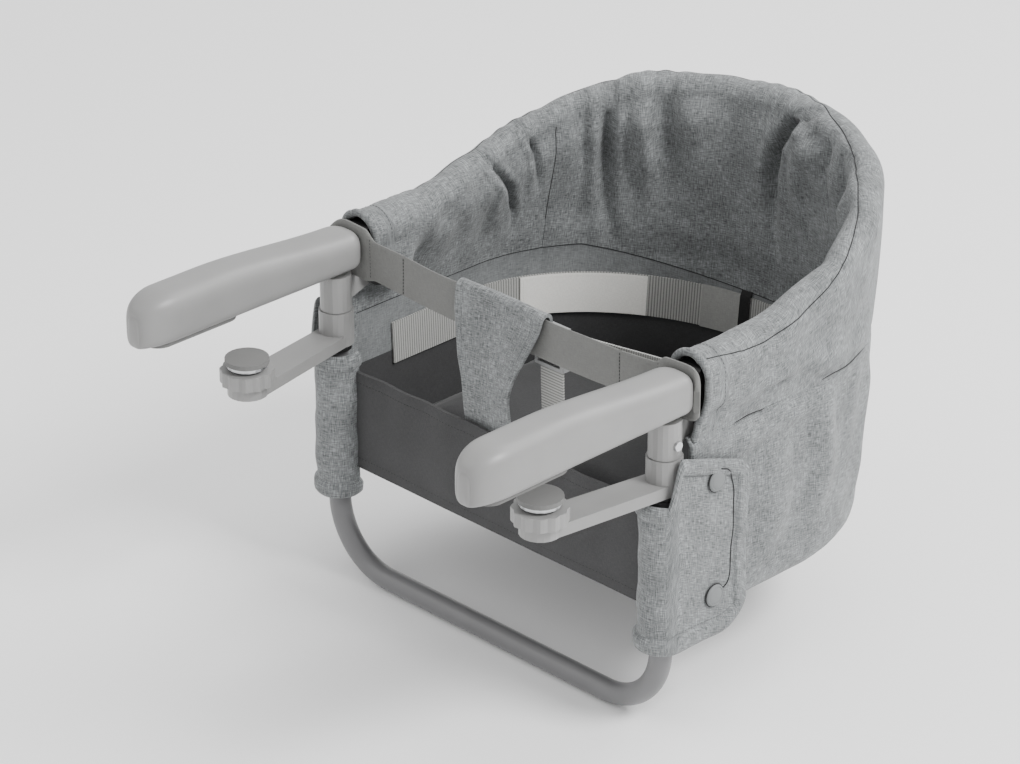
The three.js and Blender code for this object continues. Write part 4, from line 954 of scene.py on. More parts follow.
class ChairView(bpy.types.PropertyGroup):
    """The camera's place and the light."""

    azimuth: FloatProperty(name="Azimuth", description="Turn of the view round the chair", subtype="ANGLE",
                           unit="ROTATION", default=math.radians(45.0))
    elevation: FloatProperty(name="Elevation", description="Height angle of the view", subtype="ANGLE",
                             unit="ROTATION", default=math.radians(26.5))
    place: FloatVectorProperty(name="Camera", description="Place of the camera", subtype="TRANSLATION",
                               unit="LENGTH", default=(2.0146, -1.9644, 1.3759))
    lens: FloatProperty(name="Lens", description="Focal length in millimetres", default=137.71, min=10,
                        max=400)
    key: FloatProperty(name="Key light", description="Power of the large soft light", unit="POWER",
                       default=158.0, min=0)
    air: FloatProperty(name="Air light", description="Brightness of the plain white surroundings",
                       default=1.05, min=0)


# Stage
def look_at(obj, target):
    obj.rotation_euler = (Vector(target) - obj.location).to_track_quat("-Z", "Y").to_euler()


def soft_light(name, place, target, width, power):
    data = bpy.data.lights.new(name, "AREA")
    data.shape = "DISK"
    data.size = width
    data.energy = power
    lamp = bpy.data.objects.new(name, data)
    lamp.location = place
    bpy.context.scene.collection.objects.link(lamp)
    look_at(lamp, target)


class CHAIR_OT_stage(bpy.types.Operator):
    """Camera at the photograph's angle, soft studio light and a plain pale floor"""

    bl_idname = "chair.stage"
    bl_label = "Stage"

    def execute(self, context):
        view = context.scene.chair_view
        data = bpy.data.cameras.new("camera")
        data.sensor_width, data.lens = 36.0, view.lens
        data.clip_end = 60.0
        camera = bpy.data.objects.new("camera", data)
        context.scene.collection.objects.link(camera)
        right = Vector((math.cos(view.azimuth), math.sin(view.azimuth), 0.0))
        back = Vector((math.sin(view.azimuth) * math.cos(view.elevation),
                       -math.cos(view.azimuth) * math.cos(view.elevation), math.sin(view.elevation)))
        turn = Matrix((right, back.cross(right), back)).transposed()
        camera.matrix_world = Matrix.Translation(view.place) @ turn.to_4x4()
        context.scene.camera = camera

        middle = (0.0, 0.15, -0.05)
        soft_light("key_light", (2.5, 0.75, 2.6), middle, 1.5, view.key)
        soft_light("front_light", (-1.8, -2.2, 2.0), middle, 2.4, view.key * 0.12)
        soft_light("back_light", (0.3, 2.8, 2.2), middle, 2.0, view.key * 0.45)
        world = bpy.data.worlds.new("air")
        world.use_nodes = True
        air = world.node_tree.nodes["Background"].inputs
        air["Color"].default_value, air["Strength"].default_value = (1.0, 1.0, 1.0, 1.0), view.air
        context.scene.world = world

        reach, foot = 14.0, CAD_BOX[0][2] - 0.001
        corners = [(-reach, -reach, foot), (reach, -reach, foot), (reach, reach, foot), (-reach, reach, foot)]
        piece("studio_floor", corners, [(0, 1, 2, 3)], "floor")
        return {"FINISHED"}


# Arms
ARM_REACH = -ARM_FRONT
ARM_HALF = 0.021
ARM_TOP = 0.047
ARM_TAIL_TOP = 0.036
ARM_TIP_RUN = 0.034
ARM_CROWN_RUN = 0.030
ARM_TAIL_RUN = 0.014
BORE_END = 0.07


def rounded(share):
    """A quarter of a circle: rises from 0, steeply at first, to 1."""
    return math.sqrt(1.0 - (1.0 - min(1.0, max(0.0, share))) ** 2)


def arm_ring(side, y, count=64):
    """Section of an arm cover: a soft box, drawn in at the tip and the tail."""
    from_tip = y + ARM_REACH
    tail = rounded((ARM_TAIL - y) / ARM_TAIL_RUN)
    half = ARM_HALF * mix(0.32, 1.0, rounded(from_tip / ARM_TIP_RUN)) * mix(0.55, 1.0, tail)
    line = mix(ARM_TOP, ARM_TAIL_TOP, ease((y + ARM_REACH * 0.6) / (ARM_TAIL + ARM_REACH * 0.6)))
    top = mix(ARM_BASE + (line - ARM_BASE) * 0.62, line, rounded(from_tip / ARM_CROWN_RUN))
    middle, height = (ARM_BASE + top) / 2, (top - ARM_BASE) / 2 * mix(0.7, 1.0, tail)
    angle = 2 * np.pi * (np.arange(count) + 0.5) / count
    power = np.where(np.sin(angle) > 0, 2.9, 4.6)
    across = np.sign(np.cos(angle)) * np.abs(np.cos(angle)) ** (2 / power)
    rise = np.sign(np.sin(angle)) * np.abs(np.sin(angle)) ** (2 / power)
    return np.stack([side * TRACK_HALF + half * across, np.full(count, y), middle + height * rise], axis=1)


def cut_away(obj, cutter):
    """Cuts one piece by another, which is then removed."""
    boolean = obj.modifiers.new("cut", "BOOLEAN")
    boolean.operation, boolean.solver, boolean.object = "DIFFERENCE", "EXACT", cutter
    settle(obj)
    bpy.data.objects.remove(cutter)


ARM_CAPS = [(0.94, 0.0006), (0.80, 0.0012), (0.5, 0.0017), (0.12, 0.0019)]
FIT = 0.0003


def pad_recess(side_name):
    """The rounded recess in an arm's underside that holds its grip pad."""
    low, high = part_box(f"arm_grip_pad_{side_name}")
    x = SIDES[side_name] * TRACK_HALF
    half = (high.x - low.x) / 2 + FIT
    bend = np.linspace(0, np.pi, 17)
    ends = [(x + half * math.cos(a), high.y - half + FIT + half * math.sin(a)) for a in bend]
    ends += [(x - half * math.cos(a), low.y + half - FIT - half * math.sin(a)) for a in bend]
    return loft("recess", [np.array([(*place, z) for place in ends]) for z in (low.z - 0.002, high.z + FIT)],
                "arm")


class CHAIR_OT_arms(bpy.types.Operator):
    """Smooth arm covers that reach out to the front, with their grip pads and screws"""

    bl_idname = "chair.arms"
    bl_label = "Arms"

    def execute(self, context):
        edge = context.scene.chair_cloth.plastic_edge
        shares = (1 - np.cos(np.pi * np.linspace(0, 1, 90))) / 2
        for name, side in SIDES.items():
            rings = [arm_ring(side, y) for y in mix(ARM_FRONT, ARM_TAIL, shares)]
            nose, tail = rings[0], rings[-1]
            centre_nose, centre_tail = nose.mean(axis=0), tail.mean(axis=0)
            fore = [centre_nose + (nose - centre_nose) * s - (0, d, 0) for s, d in reversed(ARM_CAPS)]
            aft = [centre_tail + (tail - centre_tail) * s + (0, d * 0.4, 0) for s, d in ARM_CAPS]
            skin = loft(f"arm_skin_{name}", fore + rings + aft, "arm")
            x = side * TRACK_HALF
            cut_away(skin, tube("bore", [(x, HOOP_FRONT - 2 * FIT, HOOP_LEVEL), (x, BORE_END, HOOP_LEVEL)],
                                TUBE_RADIUS + FIT, "arm", sides=48))
            cut_away(skin, pad_recess(name))
            soften(skin, 50)
            dress(skin, ROOT, "arm", f"arm_cover_{name}")
        repaint("grip", *both("arm_grip_pad"), edge=edge)
        repaint("steel", *both("arm_screw"), edge=edge * 0.5)
        return {"FINISHED"}


# Tubes
LEG_BEND = 0.060


def hoop_line():
    """Middle line of the hoop, from the left arm round the back to the right arm."""
    straight = np.linspace(HOOP_FRONT, SIDE_RUN, 70)[:-1]
    side = [(TRACK_HALF, y, float(hoop_height(y))) for y in straight]
    angle = np.linspace(0, np.pi, 121)
    y = SIDE_RUN + HOOP_DEPTH * np.sin(angle)
    back = list(zip(TRACK_HALF * np.cos(angle), y, hoop_height(y)))
    return side + back + [(-px, py, pz) for px, py, pz in reversed(side)]


def lower_line():
    """Middle line of the lower frame, down the left leg and up the right one."""
    corner, bend_top = TRACK_HALF - LEG_BEND, BAR_HEIGHT + LEG_BEND
    half = [(TRACK_HALF, LEG_SETBACK, z) for z in np.linspace(LOWER_TUBE[1].z, bend_top, 12)[:-1]]
    half += [(corner + LEG_BEND * math.cos(a), LEG_SETBACK, bend_top - LEG_BEND * math.sin(a))
             for a in np.linspace(0, np.pi / 2, 25)]
    bar = [(x, LEG_SETBACK, BAR_HEIGHT) for x in np.linspace(corner, -corner, 14)[1:-1]]
    return half + bar + [(-px, py, pz) for px, py, pz in reversed(half)]


class CHAIR_OT_tubes(bpy.types.Operator):
    """The hoop through both arms and round the back, and the lower frame's bent tube"""

    bl_idname = "chair.tubes"
    bl_label = "Tubes"

    def execute(self, context):
        bore = TUBE_RADIUS - TUBE_WALL
        hoop = tube("hoop_steel", hoop_line(), TUBE_RADIUS, "tube", 36, bore)
        dress(hoop, ROOT, "tube", "hoop_tube")
        lower = tube("lower_steel", lower_line(), TUBE_RADIUS, "tube", 48, bore)
        dress(lower, LOWER, "tube", "lower_tube")
        return {"FINISHED"}


class CHAIR_OT_joints(bpy.types.Operator):
    """Black fold joints with their pins, buttons and springs, and the sockets on the legs"""

    bl_idname = "chair.joints"
    bl_label = "Joints"

    def execute(self, context):
        edge = context.scene.chair_cloth.plastic_edge
        repaint("black", *both("joint_housing", "fold_button"), edge=edge)
        repaint("steel", *both("fold_pin", "fold_button_spring", "leg_rivet"))
        repaint("arm", *both("leg_socket"), edge=edge)
        return {"FINISHED"}


class CHAIR_OT_clamps(bpy.types.Operator):
    """Clamp arms, collars, knobs, screws and pads that grip from below"""

    bl_idname = "chair.clamps"
    bl_label = "Clamps"

    def execute(self, context):
        edge = context.scene.chair_cloth.plastic_edge
        repaint("arm", *both("clamp_arm", "clamp_knob"), edge=edge)
        repaint("black", *both("clamp_collar"), edge=edge * 0.6)
        repaint("steel", *both("clamp_stem"), edge=edge * 0.4)
        repaint("grip", *both("clamp_pad"), edge=edge * 0.6)
        return {"FINISHED"}


class CHAIR_OT_rim(bpy.types.Operator):
    """Padded rim over the hoop with the upper wall outside, and its seams"""

    bl_idname = "chair.rim"
    bl_label = "Rim and upper wall"

    def execute(self, context):
        sizes = context.scene.chair_cloth
        grid = upper_shell()
        sew("rim_and_upper_wall", grid, sizes.shell, "linen", "linen", "rim_roll", *both("rim_hood"))
        line = rim_surface(TURNS, seam_angle(TURNS), sizes.shell / 2)[6:-6]
        seam_and_shade_cord("rim_seam", line, sizes.seam * 0.5, "linen")
        for name, column, behind in (("left", -1, -1), ("right", 0, 1)):
            edge = grid[INNER_ROWS - 3:-1, column]
            hem = tube(f"hood_hem_{name}", edge + (0, 0.0022, 0), 0.0033, "linen", sides=16)
            lay_flat(hem, points_of(hem) @ ((1.0, 0.0), (1.0, 0.0), (0.0, 1.0)))
            dress(hem, ROOT, "linen")
            line = grid[INNER_ROWS + 3:-4, column + 15 * behind]
            line = line + (line - rim_frame(TURNS)[0][column]) * (0.06, 0.0, 0.06)
            stitch(f"hood_stitches_{name}", line, "stitch", "linen")
        # Dark cords on the outer seam: the seam is real, and the cords paint the shade of its pinched fold
        # where that shade shows
        for k, (start, end) in enumerate(SEAM_SHADE_SEGMENTS):
            turns = np.linspace(start, end, 60)
            line = wall_point(turns, FOLD_PLANE + 0.0006 * np.sin(turns * 70.0), 0.0021)
            radius = sizes.seam * (0.15 + 0.35 * np.sin(np.linspace(0, np.pi, 60)) ** 0.4)
            seam_and_shade_cord(f"outer_seam_shade_{k}", line, radius, "linen")
        return {"FINISHED"}


# Height below which the dark lining runs down to the floor
STRIP_FOOT = -0.101
FLOOR_MIDDLE = 0.19


def front_edge(start, end, count=24):
    """Straight front edge that closes a plan of the seat, without its two end points."""
    return np.array([mix(start, end, share) for share in np.linspace(0, 1, count + 2)[1:-1]])


class CHAIR_OT_walls(bpy.types.Operator):
    """The bag below the outer seam, the linen and the dark lining inside, and the bag's floor"""

    bl_idname = "chair.walls"
    bl_label = "Seat walls and lining"

    def execute(self, context):
        sizes = context.scene.chair_cloth
        outer_grid = lower_wall_outside()
        sew("lower_wall", outer_grid, sizes.shell, "linen", "linen", "back_panel", *both("side_panel"),
            fold=True)

        # Three sheets hang inside, one below the other
        levels = [np.full_like(TURNS, FOLD_PLANE), lining_height(TURNS), np.full_like(TURNS, STRIP_FOOT),
                  np.full_like(TURNS, FLOOR_TOP)]
        sheets = [("inner_lower_wall", 16, sizes.shell, "linen", "linen"),
                  ("inner_strip_shaded", 16, sizes.inside, "strip", "linen"),
                  ("inner_lining", 40, sizes.inside, "lining", "lining")]
        grids = []
        for (name, steps, thickness, look, slot), top, foot in zip(sheets, levels, levels[1:]):
            grids.append(inner_sheet(TURNS, top, foot, steps))
            sew(name, grids[-1][:, ::-1], thickness, look, slot, fold=True)
        inwards = -outward(TURNS) * (sizes.inside / 2)
        seam_and_shade_cord("lining_seam", grids[0][-1] + inwards, sizes.seam * 0.5, "lining", fold=True)
        down = np.linspace(0.0, 1.0, 30)
        for name, side in SIDES.items():
            row = np.full_like(down, side * SEAM_TURN)
            top = rim_start(row)[0, 2] - 0.002
            for level, start, end, proud, fold in (("", top, FOLD_PLANE, sizes.shell, False),
                                                   ("low_", FOLD_PLANE, SEAM_SIDE_LEVEL, sizes.inside, True)):
                line = inner_wall(row, mix(start, end, down)) - outward(row) * (proud / 2)
                seam_and_shade_cord(f"corner_seam_{level}{name}", line, sizes.seam * 0.4, "linen", fold=fold)

        lip = outer_grid[-1][EDGE_WRAP:-EDGE_WRAP]
        under = disc("bag_underside", np.concatenate([lip, front_edge(lip[-1], lip[0])]),
                     np.array([0.0, FLOOR_MIDDLE, BAG_FOOT]), 26, "lining", 0.001, sizes.shell, raise_front)
        dress(under, ROOT, "lining", fold=True)
        inset = grids[-1][-1] + inwards * 2.5
        base = disc("bag_floor", np.concatenate([inset, front_edge(inset[-1], inset[0])]),
                    np.array([0.0, FLOOR_MIDDLE, FLOOR_FOOT + 0.0015]), 16, "lining", 0.0,
                    FLOOR_TOP - FLOOR_FOOT)
        dress(base, ROOT, "lining", "seat_floor", fold=True)
        return {"FINISHED"}


# Seat pad
PAD_SHRINK = (0.965, 0.965, 0.84)
PAD_FRAMES = 20
PIPING_RADIUS = 0.0021


def swell_cloth(pad, cap):
    """Swells a closed mesh like a stuffed cover, and moves no point further than the cap."""
    start = points_of(pad)
    stuffing = pad.modifiers.new("stuffing", "CLOTH")
    stuffing.settings.quality = 5
    stuffing.settings.use_pressure = True
    stuffing.settings.uniform_pressure_force = 4.0
    stuffing.settings.effector_weights.gravity = 0.0
    stuffing.point_cache.frame_start, stuffing.point_cache.frame_end = 1, PAD_FRAMES
    for step in range(1, PAD_FRAMES + 1):
        bpy.context.scene.frame_set(step)
    settle(pad)
    shift = points_of(pad) - start
    length = np.linalg.norm(shift, axis=1, keepdims=True)
    shift *= np.minimum(1.0, cap / np.maximum(length, 1e-9))
    move_points(pad, start + shift)
    bpy.context.scene.frame_set(1)


def pad_edge(places, middle, level):
    """A line round the pad at one height, just outside its cloth."""
    rim = places[np.abs(places[:, 2] - level) < 0.006] - middle
    angle, reach = np.arctan2(rim[:, 1], rim[:, 0]), np.hypot(rim[:, 0], rim[:, 1])
    turns = np.linspace(-np.pi, np.pi, 181)[:-1]
    apart = np.abs((angle - turns[:, None] + np.pi) % (2 * np.pi) - np.pi)
    most = np.where(apart < 0.06, reach, 0.0).max(axis=1)
    most = (np.roll(most, 1) + 2 * most + np.roll(most, -1)) / 4 + 0.0004
    line = np.stack([middle[0] + most * np.cos(turns), middle[1] + most * np.sin(turns),
                     np.full_like(turns, level)], axis=1)
    return np.concatenate([line, line[:1]])


class CHAIR_OT_pad(bpy.types.Operator):
    """Stuffed pad on the seat board, with piping round its edge, and the board under it"""

    bl_idname = "chair.pad"
    bl_label = "Seat pad"

    def execute(self, context):
        sizes = context.scene.chair_cloth
        low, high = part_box("seat_pad")
        middle = np.array((low + high) / 2)
        middle[2] = low.z
        pad = bpy.data.objects.new("pad_cushion", NODES["seat_pad"].data.copy())
        context.scene.collection.objects.link(pad)
        move_points(pad, middle + (points_of(pad) - middle) * PAD_SHRINK)
        even = pad.modifiers.new("even", "REMESH")
        even.mode, even.voxel_size = "VOXEL", 0.005
        settle(pad)
        swell_cloth(pad, sizes.swell)
        finer = pad.modifiers.new("finer", "SUBSURF")
        finer.levels = finer.render_levels = 1
        settle(pad)
        places = points_of(pad)
        places[:, 2] = np.maximum(places[:, 2], low.z + 0.0002)
        move_points(pad, places)
        pad.data.materials.clear()
        pad.data.materials.append(finish("lining"))
        lay_flat(pad, places[:, :2] + places[:, 2:] * (0.3, 0.7))
        soften(pad, 80)
        dress(pad, "seat_base", "foam", "seat_pad")

        piping = tube("pad_piping", pad_edge(places, middle, (low.z + high.z) / 2), PIPING_RADIUS, "lining",
                      sides=12)
        lay_flat(piping, points_of(piping)[:, :2])
        dress(piping, "seat_base", "foam")
        repaint("board", "seat_board", edge=sizes.plastic_edge)
        return {"FINISHED"}


# Front panel
PANEL_STITCH = 0.0085


def hemmed(distance, wide=0.010, line=0.0085, extra=0.0009):
    """Extra thickness of a folded hem at a distance from the edge, with the dent of its stitches."""
    return extra * (1.0 - ease((distance - wide) / 0.0025)) - 0.0009 * hump(distance - line, 0.0011)


class CHAIR_OT_front_panel(bpy.types.Operator):
    """Dark panel across the front of the seat, with a stitched hem along its top and its foot"""

    bl_idname = "chair.front_panel"
    bl_label = "Front panel"

    def execute(self, context):
        low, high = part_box("front_panel")
        setback, bulge = high.y - 0.002, 0.006
        half = high.x - 0.0001
        rows = 40
        u, v = np.meshgrid(np.linspace(0, 1, 121), np.linspace(0, 1, rows))
        top, foot = high.z - 0.0004, low.z + 0.0004
        waves = (0.0012 * np.sin(u * 19.0 + v * 2.0) * np.sin(np.pi * v)
                 + 0.0008 * np.sin(u * 41.0 + 1.0) * (1 - v))
        y = setback - bulge * np.sin(np.pi * u) * np.sin(np.pi * v) - waves - 0.0006
        grid = np.stack([mix(-half, half, u), y, mix(top, foot, v)], axis=2)
        edge = np.minimum(v, 1 - v) * (top - foot)
        sew("front_cloth", grid, (0.0024 + hemmed(edge))[:, :, None], "lining", "lining", "front_panel",
            fold=True)
        inset = int(round(PANEL_STITCH / (top - foot) * (rows - 1)))
        for name, row in (("upper", inset), ("lower", rows - 1 - inset)):
            stitch(f"front_stitches_{name}", grid[row] - (0, 0.0013, 0), "thread", "lining", fold=True)
        return {"FINISHED"}


# Flaps round the legs
FLAP_RADIUS = TUBE_RADIUS + 0.0089
FLAP_WALL = 0.0024
FLAP_WRAP = 0.48
FLAP_START = math.radians(-200)
FLAP_TOP = -0.0320
FLAP_SLOPE = 0.36
FLAP_FRONT_TOP = -0.072
FLAP_FOOT = -0.206
FLAP_REAR = 0.108
FLAP_ROUND = 0.012
FLAP_LOW_ROUND = 0.034
FLAP_ROWS = 90
FLAP_COLUMNS = 150
FLAP_MIDDLE = 45
FLAP_HEM = 0.0132
# Rows and columns that the stitches along the hem follow
HEM_ROWS = (8, 80)
HEM_COLUMNS = (60, 137)
# Column from which the dark cord of painted groove shade is laid
SHADE_CORD_COLUMN = 76
# Set back and height along the dark cord near the studs, which paints the shade of the hem's groove
FLAP_SHADE_CORD = [(0.074, -0.0545), (0.083, -0.0590), (0.0890, -0.0720), (0.0915, -0.0900), (0.0915, -0.1200),
             (0.0905, -0.1500), (0.0880, -0.1630), (0.0805, -0.1680)]
STUD_SETBACK = 0.072
STUD_DROPS = {"upper": 0.065, "lower": 0.169}
STUD_RADIUS = 0.0095
STUD_HEIGHT = 0.003
STUD_PROFILE = [(0.0, 0.0), (0.97, 0.0), (1.0, 0.10), (0.995, 0.34), (0.95, 0.55), (0.84, 0.72), (0.80, 0.60),
                (0.76, 0.58), (0.72, 0.70), (0.45, 0.86), (0.2, 0.93), (0.01, 0.95)]


def flap_plan(side, share):
    """Plan of a flap: round the leg, then straight back along the seat's side."""
    angle = mix(FLAP_START, 0.0, np.minimum(share / FLAP_WRAP, 1.0))
    run = np.clip((share - FLAP_WRAP) / (1 - FLAP_WRAP), 0.0, 1.0)
    x = side * (TRACK_HALF + FLAP_RADIUS * np.cos(angle))
    y = np.where(share < FLAP_WRAP, LEG_SETBACK + FLAP_RADIUS * np.sin(angle),
                 mix(LEG_SETBACK, FLAP_REAR, run))
    return x, y


def flap_grid(side):
    """Points of a flap, the direction away from the leg at each, and their distance from the flap's edge."""
    share, v = np.meshgrid(np.linspace(0, 1, FLAP_COLUMNS), np.linspace(0, 1, FLAP_ROWS))
    x, y = flap_plan(side, share)
    behind = share > FLAP_WRAP
    outer_top = FLAP_TOP - FLAP_SLOPE * np.maximum(0.0, y - LEG_SETBACK) * behind
    top = mix(FLAP_FRONT_TOP, outer_top, ease((share - 0.39) / 0.08))

    def corner(round_by):
        near = np.clip((round_by - (FLAP_REAR - y)) / round_by, 0.0, 1.0)
        return np.where(behind, round_by * (1 - np.sqrt(1 - near**2)), 0.0)

    upper, lower = top - corner(FLAP_ROUND), FLAP_FOOT + corner(FLAP_LOW_ROUND)
    z = mix(upper, lower, v)
    flare = 0.0016 * ease((share - 0.62) / 0.3) * (0.5 + 0.5 * np.sin(v * 7.0 + 0.6))
    dimples = sum(-0.0010 * hump(np.hypot(y - STUD_SETBACK, z + drop), 0.014) for drop in STUD_DROPS.values())
    waves = (0.0009 * np.sin(v * 9.0 + share * 5.0) * np.sin(np.pi * share)
             + 0.0005 * np.sin(v * 23.0 - share * 9.0))
    away = np.stack([x - side * TRACK_HALF, y - LEG_SETBACK, 0 * x], axis=2)
    away[behind] = (side, 0.0, 0.0)
    away /= np.linalg.norm(away, axis=2, keepdims=True)
    grid = np.stack([x, y, z], axis=2) + away * (np.maximum(waves, -0.0004) + flare + dimples)[:, :, None]
    edge = np.minimum(np.minimum(upper - z, z - lower), np.where(behind, FLAP_REAR - y, 1.0))
    return grid, away, edge


def flap_hem_line(skin):
    """The stitched line round the free edges of a flap, on its outer skin."""
    (row_top, row_low), (start, column) = HEM_ROWS, HEM_COLUMNS
    return np.concatenate([skin[row_top, start:column], skin[row_top:row_low, column],
                           skin[row_low, column:start:-1]])


def flap_shade_line(grid, skin):
    """The route of the dark cord that paints the shade of the hem's groove, laid on the flap's outer skin and
    evened out.
    """
    route = smooth_route(FLAP_SHADE_CORD, 90)
    column = SHADE_CORD_COLUMN + np.searchsorted(grid[FLAP_MIDDLE, SHADE_CORD_COLUMN:, 1], route[:, 0])
    column = np.minimum(column, FLAP_COLUMNS - 1)
    row = np.argmin(np.abs(grid[:, column, 2] - route[:, 1]), axis=0)
    x = np.convolve(np.pad(skin[row, column, 0], 4, mode="edge"), np.ones(9) / 9, mode="valid")
    return np.column_stack([x, route])


def add_stud(level, name):
    """A press stud's cap, with a dark ring round it that paints the shade where the cap meets the cloth."""
    side, drop = SIDES[name], STUD_DROPS[level]
    face = side * (TRACK_HALF + FLAP_RADIUS + FLAP_WALL / 2 + 0.0004)
    profile = [(STUD_RADIUS * r + 0.00005, STUD_HEIGHT * h) for r, h in STUD_PROFILE]
    stud = turned(f"stud_{level}_{name}", profile, (face, STUD_SETBACK, -drop), (side, 0, 0), "stud", sides=48)
    dress(stud, LOWER, "stud", f"press_stud_{level}_{name}")
    # Painted shade: a dark ring where the cap meets the cloth
    reach = STUD_RADIUS + 0.0004
    ring = [(face + side * 0.0003, STUD_SETBACK + reach * math.cos(a), -drop + reach * math.sin(a))
            for a in np.linspace(0, 2 * np.pi, 49)]
    seam_and_shade_cord(f"stud_shade_ring_{level}_{name}", ring, 0.0005, "stud", LOWER)


class CHAIR_OT_flaps(bpy.types.Operator):
    """Flaps of linen wrapped round the legs, with stitched hems and two press studs each"""

    bl_idname = "chair.flaps"
    bl_label = "Leg flaps"

    def execute(self, context):
        sizes = context.scene.chair_cloth
        for name, side in SIDES.items():
            grid, away, edge = flap_grid(side)
            thickness = (FLAP_WALL + hemmed(edge, 0.0130, FLAP_HEM, 0.0030)
                         - 0.0016 * hump(edge - FLAP_HEM, 0.0016) - 0.0026 * hump(edge, 0.0018))[:, :, None]
            grid = grid + away * (thickness - FLAP_WALL) / 2
            skin = grid + away * (thickness / 2 + 0.0002)
            flap = sew(f"leg_flap_{name}", grid[:, ::side], thickness[:, ::side], "linen", "linen",
                       f"side_flap_{name}", body=LOWER)
            stitch(f"flap_stitches_{name}", flap_hem_line(skin), "stitch", "linen", LOWER)
            # A dark cord paints the shade of the hem's groove
            seam_and_shade_cord(f"flap_shade_cord_{name}", flap_shade_line(grid, skin), sizes.seam * 0.5, "linen", LOWER)
            for level in STUD_DROPS:
                add_stud(level, name)
        return {"FINISHED"}


# Front band and crotch cover
BAND_TOP = 0.031
BAND_SAG = 0.006
BAND_WIDTH = 0.036
BAND_SETBACK = 0.050
BAND_ROUND = 0.014
BAND_HUG = ARM_HALF + 0.0027
LOOP_RISE = 0.0075
LOOP_START = 0.158
BAND_STITCHES = (0.124, 0.165)


def band_plan():
    """Plan of the band: round both arm tails and straight between them."""
    rear = ARM_TAIL + 0.0027
    inner = BAND_HUG - BAND_ROUND
    angle = np.radians(np.linspace(28, 90, 22))
    left = np.stack([TRACK_HALF + inner + BAND_ROUND * np.cos(angle),
                     rear - BAND_ROUND * (1 - np.sin(angle))], 1)
    x = np.linspace(TRACK_HALF + inner, -TRACK_HALF - inner, 220)[1:-1]
    y = mix(BAND_SETBACK, rear, ease((np.abs(x) - (TRACK_HALF - inner - 0.028)) / 0.028))
    right = left[::-1] * (-1, 1)
    return np.concatenate([left, np.stack([x, y], 1), right])


class CHAIR_OT_band(bpy.types.Operator):
    """Smooth band from arm to arm, looped round their tails"""

    bl_idname = "chair.band"
    bl_label = "Front band"

    def execute(self, context):
        path = band_plan()
        x, y = path[:, 0], path[:, 1]
        v = np.linspace(0, 1, 25)[:, None]
        loop = ease((np.abs(x) - LOOP_START) / 0.014)
        drop = BAND_SAG * np.maximum(0.0, 1 - (x / TRACK_HALF) ** 2)
        past = np.clip((np.abs(x) - TRACK_HALF - 0.002) / (BAND_HUG - 0.0022), 0.0, 1.0)
        narrow = np.sqrt(np.maximum(0.08, 1 - past**3.2))
        top, width = BAND_TOP + LOOP_RISE * loop - drop, BAND_WIDTH + 1.5 * LOOP_RISE * loop
        z = top - width * (0.5 + (v - 0.5) * narrow)
        ripple = 0.0005 * np.sin(x * 90.0) * (1 - v) + 0.0007 * np.sin(x * 37.0 + 1.0)
        grid = np.stack(np.broadcast_arrays(x, y + ripple * (1 - loop), z), axis=2)
        ends = np.sqrt(np.maximum(0.0, 1 - np.abs(2 * v - 1) ** 10))
        thick = mix(0.0028, 0.0050, loop) * mix(0.30, 1.0, ends)
        thick = thick - 0.0010 * sum(hump(np.abs(np.abs(x) - place), 0.0012) for place in BAND_STITCHES)
        band = cloth("band_cloth", grid[:, ::-1], thick[:, ::-1, None], "band")
        for side in SIDES.values():
            places = [(side * TRACK_HALF, ARM_TAIL - 0.008, HOOP_LEVEL),
                      (side * TRACK_HALF, 0.060, HOOP_LEVEL)]
            cut_away(band, tube("hole", places, TUBE_RADIUS + 0.0004, "band", sides=40))
            soften(band, 50)
        dress(band, ROOT, "band", "front_band")
        for name, side in SIDES.items():
            for k, place in enumerate(BAND_STITCHES):
                line = grid[1:-1, int(np.argmin(np.abs(x - side * place)))] - (0, 0.0014, 0)
                stitch(f"band_stitches_{name}_{k}", line, "thread", "band", pitch=0.003, length=0.0022)
        return {"FINISHED"}


COVER_ROUTE = [(0.0590, 0.0031), (0.0572, 0.0161), (0.05485, 0.0261), (0.0500, 0.0293), (0.04515, 0.0261),
               (0.0436, 0.0161), (0.0415, -0.0069), (0.0415, -0.0620), (0.0458, -0.1080)]
COVER_TOP_WIDTH = 0.098
COVER_LOW_WIDTH = 0.053


def cover_grid(route, columns=61):
    """Points of the cover along its route over the band, and its width at each row."""
    y, z = route[:, :1], route[:, 1:]
    low = ease((BAND_TOP - z) / 0.093)
    width = mix(COVER_TOP_WIDTH, COVER_LOW_WIDTH, low)
    middle = -mix(0.007, 0.0182, low)
    u = np.linspace(-0.5, 0.5, columns)[None, :]
    x = middle + width * u
    hang = ease((0.046 - y) / 0.006)
    fold = 0.0022 * hump(x + 0.028 - 0.35 * (z - 0.02), 0.009) - 0.0016 * hump(x + 0.006 - 0.2 * z, 0.010)
    fold = fold + 0.0016 * hump(x - 0.020 - 0.3 * z, 0.008) + 0.0012 * np.abs(2 * u) ** 3
    crown = 0.0014 * np.cos(np.pi * u) * (1 - hang) * hump(z - 0.029, 0.012)
    return np.stack([x, y - hang * np.maximum(fold, -0.001) + 0 * x, z + crown + 0 * x], axis=2), width


